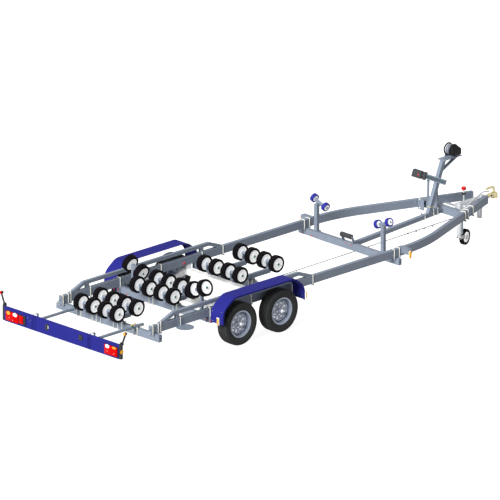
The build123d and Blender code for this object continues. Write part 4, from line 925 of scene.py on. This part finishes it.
# Thin dark plate in the stop's channel paints the shade inside the channel.
bow.box((-0.0010, -0.198, -0.0245), (0.0, 0.183, 0.0245), shaded_steel, 0.0004, tilt)
bolts_back(bow, -0.0010, [(0.171, 0.004), (0.0996, 0.0), (-0.002, 0.0), (-0.1116, 0.0)],
           green_bolt, 0.017, 0.003, where=tilt)
bow.lathe([(0.012, 0.0), (0.012, 0.003), (0.010, 0.005), (0.0, 0.0055)],
          Matrix.Translation((face - 0.0345, 0.322, STOP_Z)) @ spun(LEAN, "Y") @ place(ry=-90),
          red_bolt, 20)
bolts_back(bow, on_post(0.962, -0.030) - 0.0125, [(0.150, 0.935)], green_bolt, 0.016)
# U-bolts, plates and bolts round the post's foot, on the spine, which rises to the front
FOOT_Y = 0.036
SPINE_REAR, SPINE_LOW = 2.845, 0.383    # station of its rear end, height of its underside there
SPINE_SIZE, SPINE_RISE = 0.060, 0.057   # bar's height, climb per metre
for x in (4.250, 4.420, 4.500):
    top = SPINE_LOW + SPINE_RISE * (x - SPINE_REAR) + SPINE_SIZE
    u_bolt(bow, (at(x), FOOT_Y), (at(x), -FOOT_Y), top + 0.042, top - 0.0668, 0.0055, 0.012)
    for sign in (1, -1):
        low_y, high_y = sorted((sign * 0.0305, sign * (FOOT_Y + 0.012)))
        bow.box((at(x) - 0.012, low_y, top + 0.0006), (at(x) + 0.012, high_y, top + 0.0056),
                galvanised, 0.001)
        bow.bolt(place(at(x), sign * FOOT_Y, top + 0.0056), galvanised, across=0.015, stud=0.0)
# on the drawbar crossmember's plate
bolts_back(bow, at(4.547) - 0.0002, [(0.372, 0.590), (0.372, 0.466)], bright_zinc, 0.018, 0.004)
# band round the post above its foot
BAND_Z, BAND_HALF = 0.612, 0.0312
behind, ahead = on_post(BAND_Z, -BAND_HALF), on_post(BAND_Z, BAND_HALF)
band = [(behind, -BAND_HALF, BAND_Z), (ahead, -BAND_HALF, BAND_Z), (ahead, BAND_HALF, BAND_Z),
        (behind, BAND_HALF, BAND_Z)]
bow.tube(band, 0.0050, zinc_yellow, 8, closed=True)
piece("post_and_bow_bolts", bow, "chassis")

# loops that guide the brake rod, beside the spine: y, z
GUIDE = [(-0.100, 0.376), (-0.086, 0.366), (-0.100, 0.352), (-0.114, 0.366), (-0.100, 0.376)]
guides = Build()
for x in (3.850, 4.010, 4.170, 4.330):
    guides.tube(bend([(at(x), y, z) for y, z in GUIDE], 0.006), 0.0045, axle_washer, 8)
piece("brake_rod_guides", guides, "chassis")


# ------------------------------------------------------------------ drawbar, coupling, jockey wheel
JOCKEY_X, JOCKEY_Y = at(4.702), -0.262
CRANK_REACH = 0.082
leg = place(JOCKEY_X, JOCKEY_Y)
crank = place(JOCKEY_X + CRANK_REACH, JOCKEY_Y)
nose = Build()
# on top of the drawbar rails, behind the coupling
for x, y in ((5.115, 0.205), (5.285, 0.140), (5.130, -0.200), (5.275, -0.140)):
    nose.bolt(place(at(x), y, 0.5832), galvanised, across=0.020, stud=0.003)
# the crank's four-lobed knob, and the black collar below it
nose.lathe([(0.011, 0.8270), (0.0262, 0.8275), (0.0262, 0.8745), (0.011, 0.8750)], crank,
           red_knob, 24, ends=False)
for k in range(4):
    lobe = crank @ spun(PI / 2 * k + PI / 4) @ place(x=0.021, z=0.834)
    nose.prism(ellipse(0, 0, 0.015, 0.0095, 16), 0.032, lobe, red_knob, 0.004)
nose.lathe([(0.0095, 0.7640), (0.0268, 0.7642), (0.0268, 0.7858), (0.0095, 0.7860)], crank,
           black_moulding, 28, ends=False)
nose.lathe([(0.0268, 0.7720), (0.0330, 0.7728), (0.0330, 0.7785), (0.0268, 0.7795)], crank,
           black_moulding, 28, closed=True)
# sleeve round the jockey leg with a plate on its side, and a ring above
nose.lathe([(0.0262, 0.191), (0.0345, 0.193), (0.0360, 0.197), (0.0360, 0.430),
            (0.0345, 0.434), (0.0262, 0.436)], leg, jockey_coat, 36, closed=True)
nose.box((0.012, -0.0400, 0.205), (0.034, -0.0150, 0.425), galvanised, 0.002,
         leg @ place(rz=-8))
nose.lathe([(0.0266, 0.600), (0.0320, 0.602), (0.0320, 0.650), (0.0266, 0.652)], leg, pale_zinc,
           32, closed=True)
# the coupling's grip, collar and side bolts
grip = [(5.490, 0.609), (5.545, 0.6145), (5.606, 0.6145), (5.631, 0.598), (5.631, 0.545)]
nose.tube(bend([(at(x), 0, z) for x, z in grip], 0.02), 0.0178, zinc_yellow, 14)
nose.lathe([(0.0305, 0.0), (0.034, 0.002), (0.034, 0.016), (0.0305, 0.018)],
           place(at(5.440), 0, 0.497) @ ALONG_X, zinc_yellow, 32, closed=True)
for sign in (1, -1):
    nose.bolt(place(at(5.555), sign * 0.0322, 0.505, rx=-90 * sign), shaded_steel,
              across=0.018, stud=0.003)
piece("crank_and_rail_bolts", nose, "chassis")

# the jockey wheel stands ahead of its leg, turned to the left
FORK_TURN, REACH = 16, 0.148            # degrees; from the leg's line to the wheel's axle
JOCKEY_RADIUS = 0.112
turned_by = math.radians(FORK_TURN)
spin = place(JOCKEY_X + REACH * math.cos(turned_by), JOCKEY_Y + REACH * math.sin(turned_by),
             JOCKEY_RADIUS, rz=FORK_TURN)
outward = spin @ place(rz=180)
hub = Build()
hub.lathe([(0.056, 0.0372), (0.054, 0.0392), (0.034, 0.0392)], outward @ ALONG_Y, white_hub_glow, 36,
          ends=False)
hub.lathe([(0.034, 0.0388), (0.031, 0.0412), (0.016, 0.0416), (0.0, 0.0418)],
          outward @ ALONG_Y, pale_zinc, 36, ends=False)
hub.hexagon(outward @ place(y=0.0416) @ ALONG_Y, 0.020, 0.008, bright_zinc)
piece("jockey_hub_cover", hub, "jockey_fork")
tyre = Build()
half = [(0.074, -0.0185), (0.076, -0.0285), (0.088, -0.030), (0.1060, -0.030),
        (0.1108, -0.0275), (JOCKEY_RADIUS, -0.023), (JOCKEY_RADIUS, -0.0065), (0.1085, -0.005)]
tyre.lathe(half + [(r, -h) for r, h in half[::-1]], spin @ ALONG_Y, black_rubber, 64, ends=False)
HUB_DISC = [(0.0745, 0.0265), (0.070, 0.027), (0.067, 0.019), (0.030, 0.0175), (0.026, 0.0285),
            (0.009, 0.0288), (0.009, 0.0)]
SPOKES = 6
for turned in (0, 180):
    face = spin @ place(rz=turned) @ ALONG_Y
    tyre.lathe(HUB_DISC, face, white_hub_glow, 48, ends=False)
    for k in range(SPOKES):
        tyre.box((0.027, -0.0025, 0.0165), (0.069, 0.0025, 0.0245), white_hub_glow, 0.001,
                 face @ spun(2 * PI / SPOKES * k))
piece("jockey_wheel_dressed", tyre, "jockey_wheel", ("jockey_wheel",))
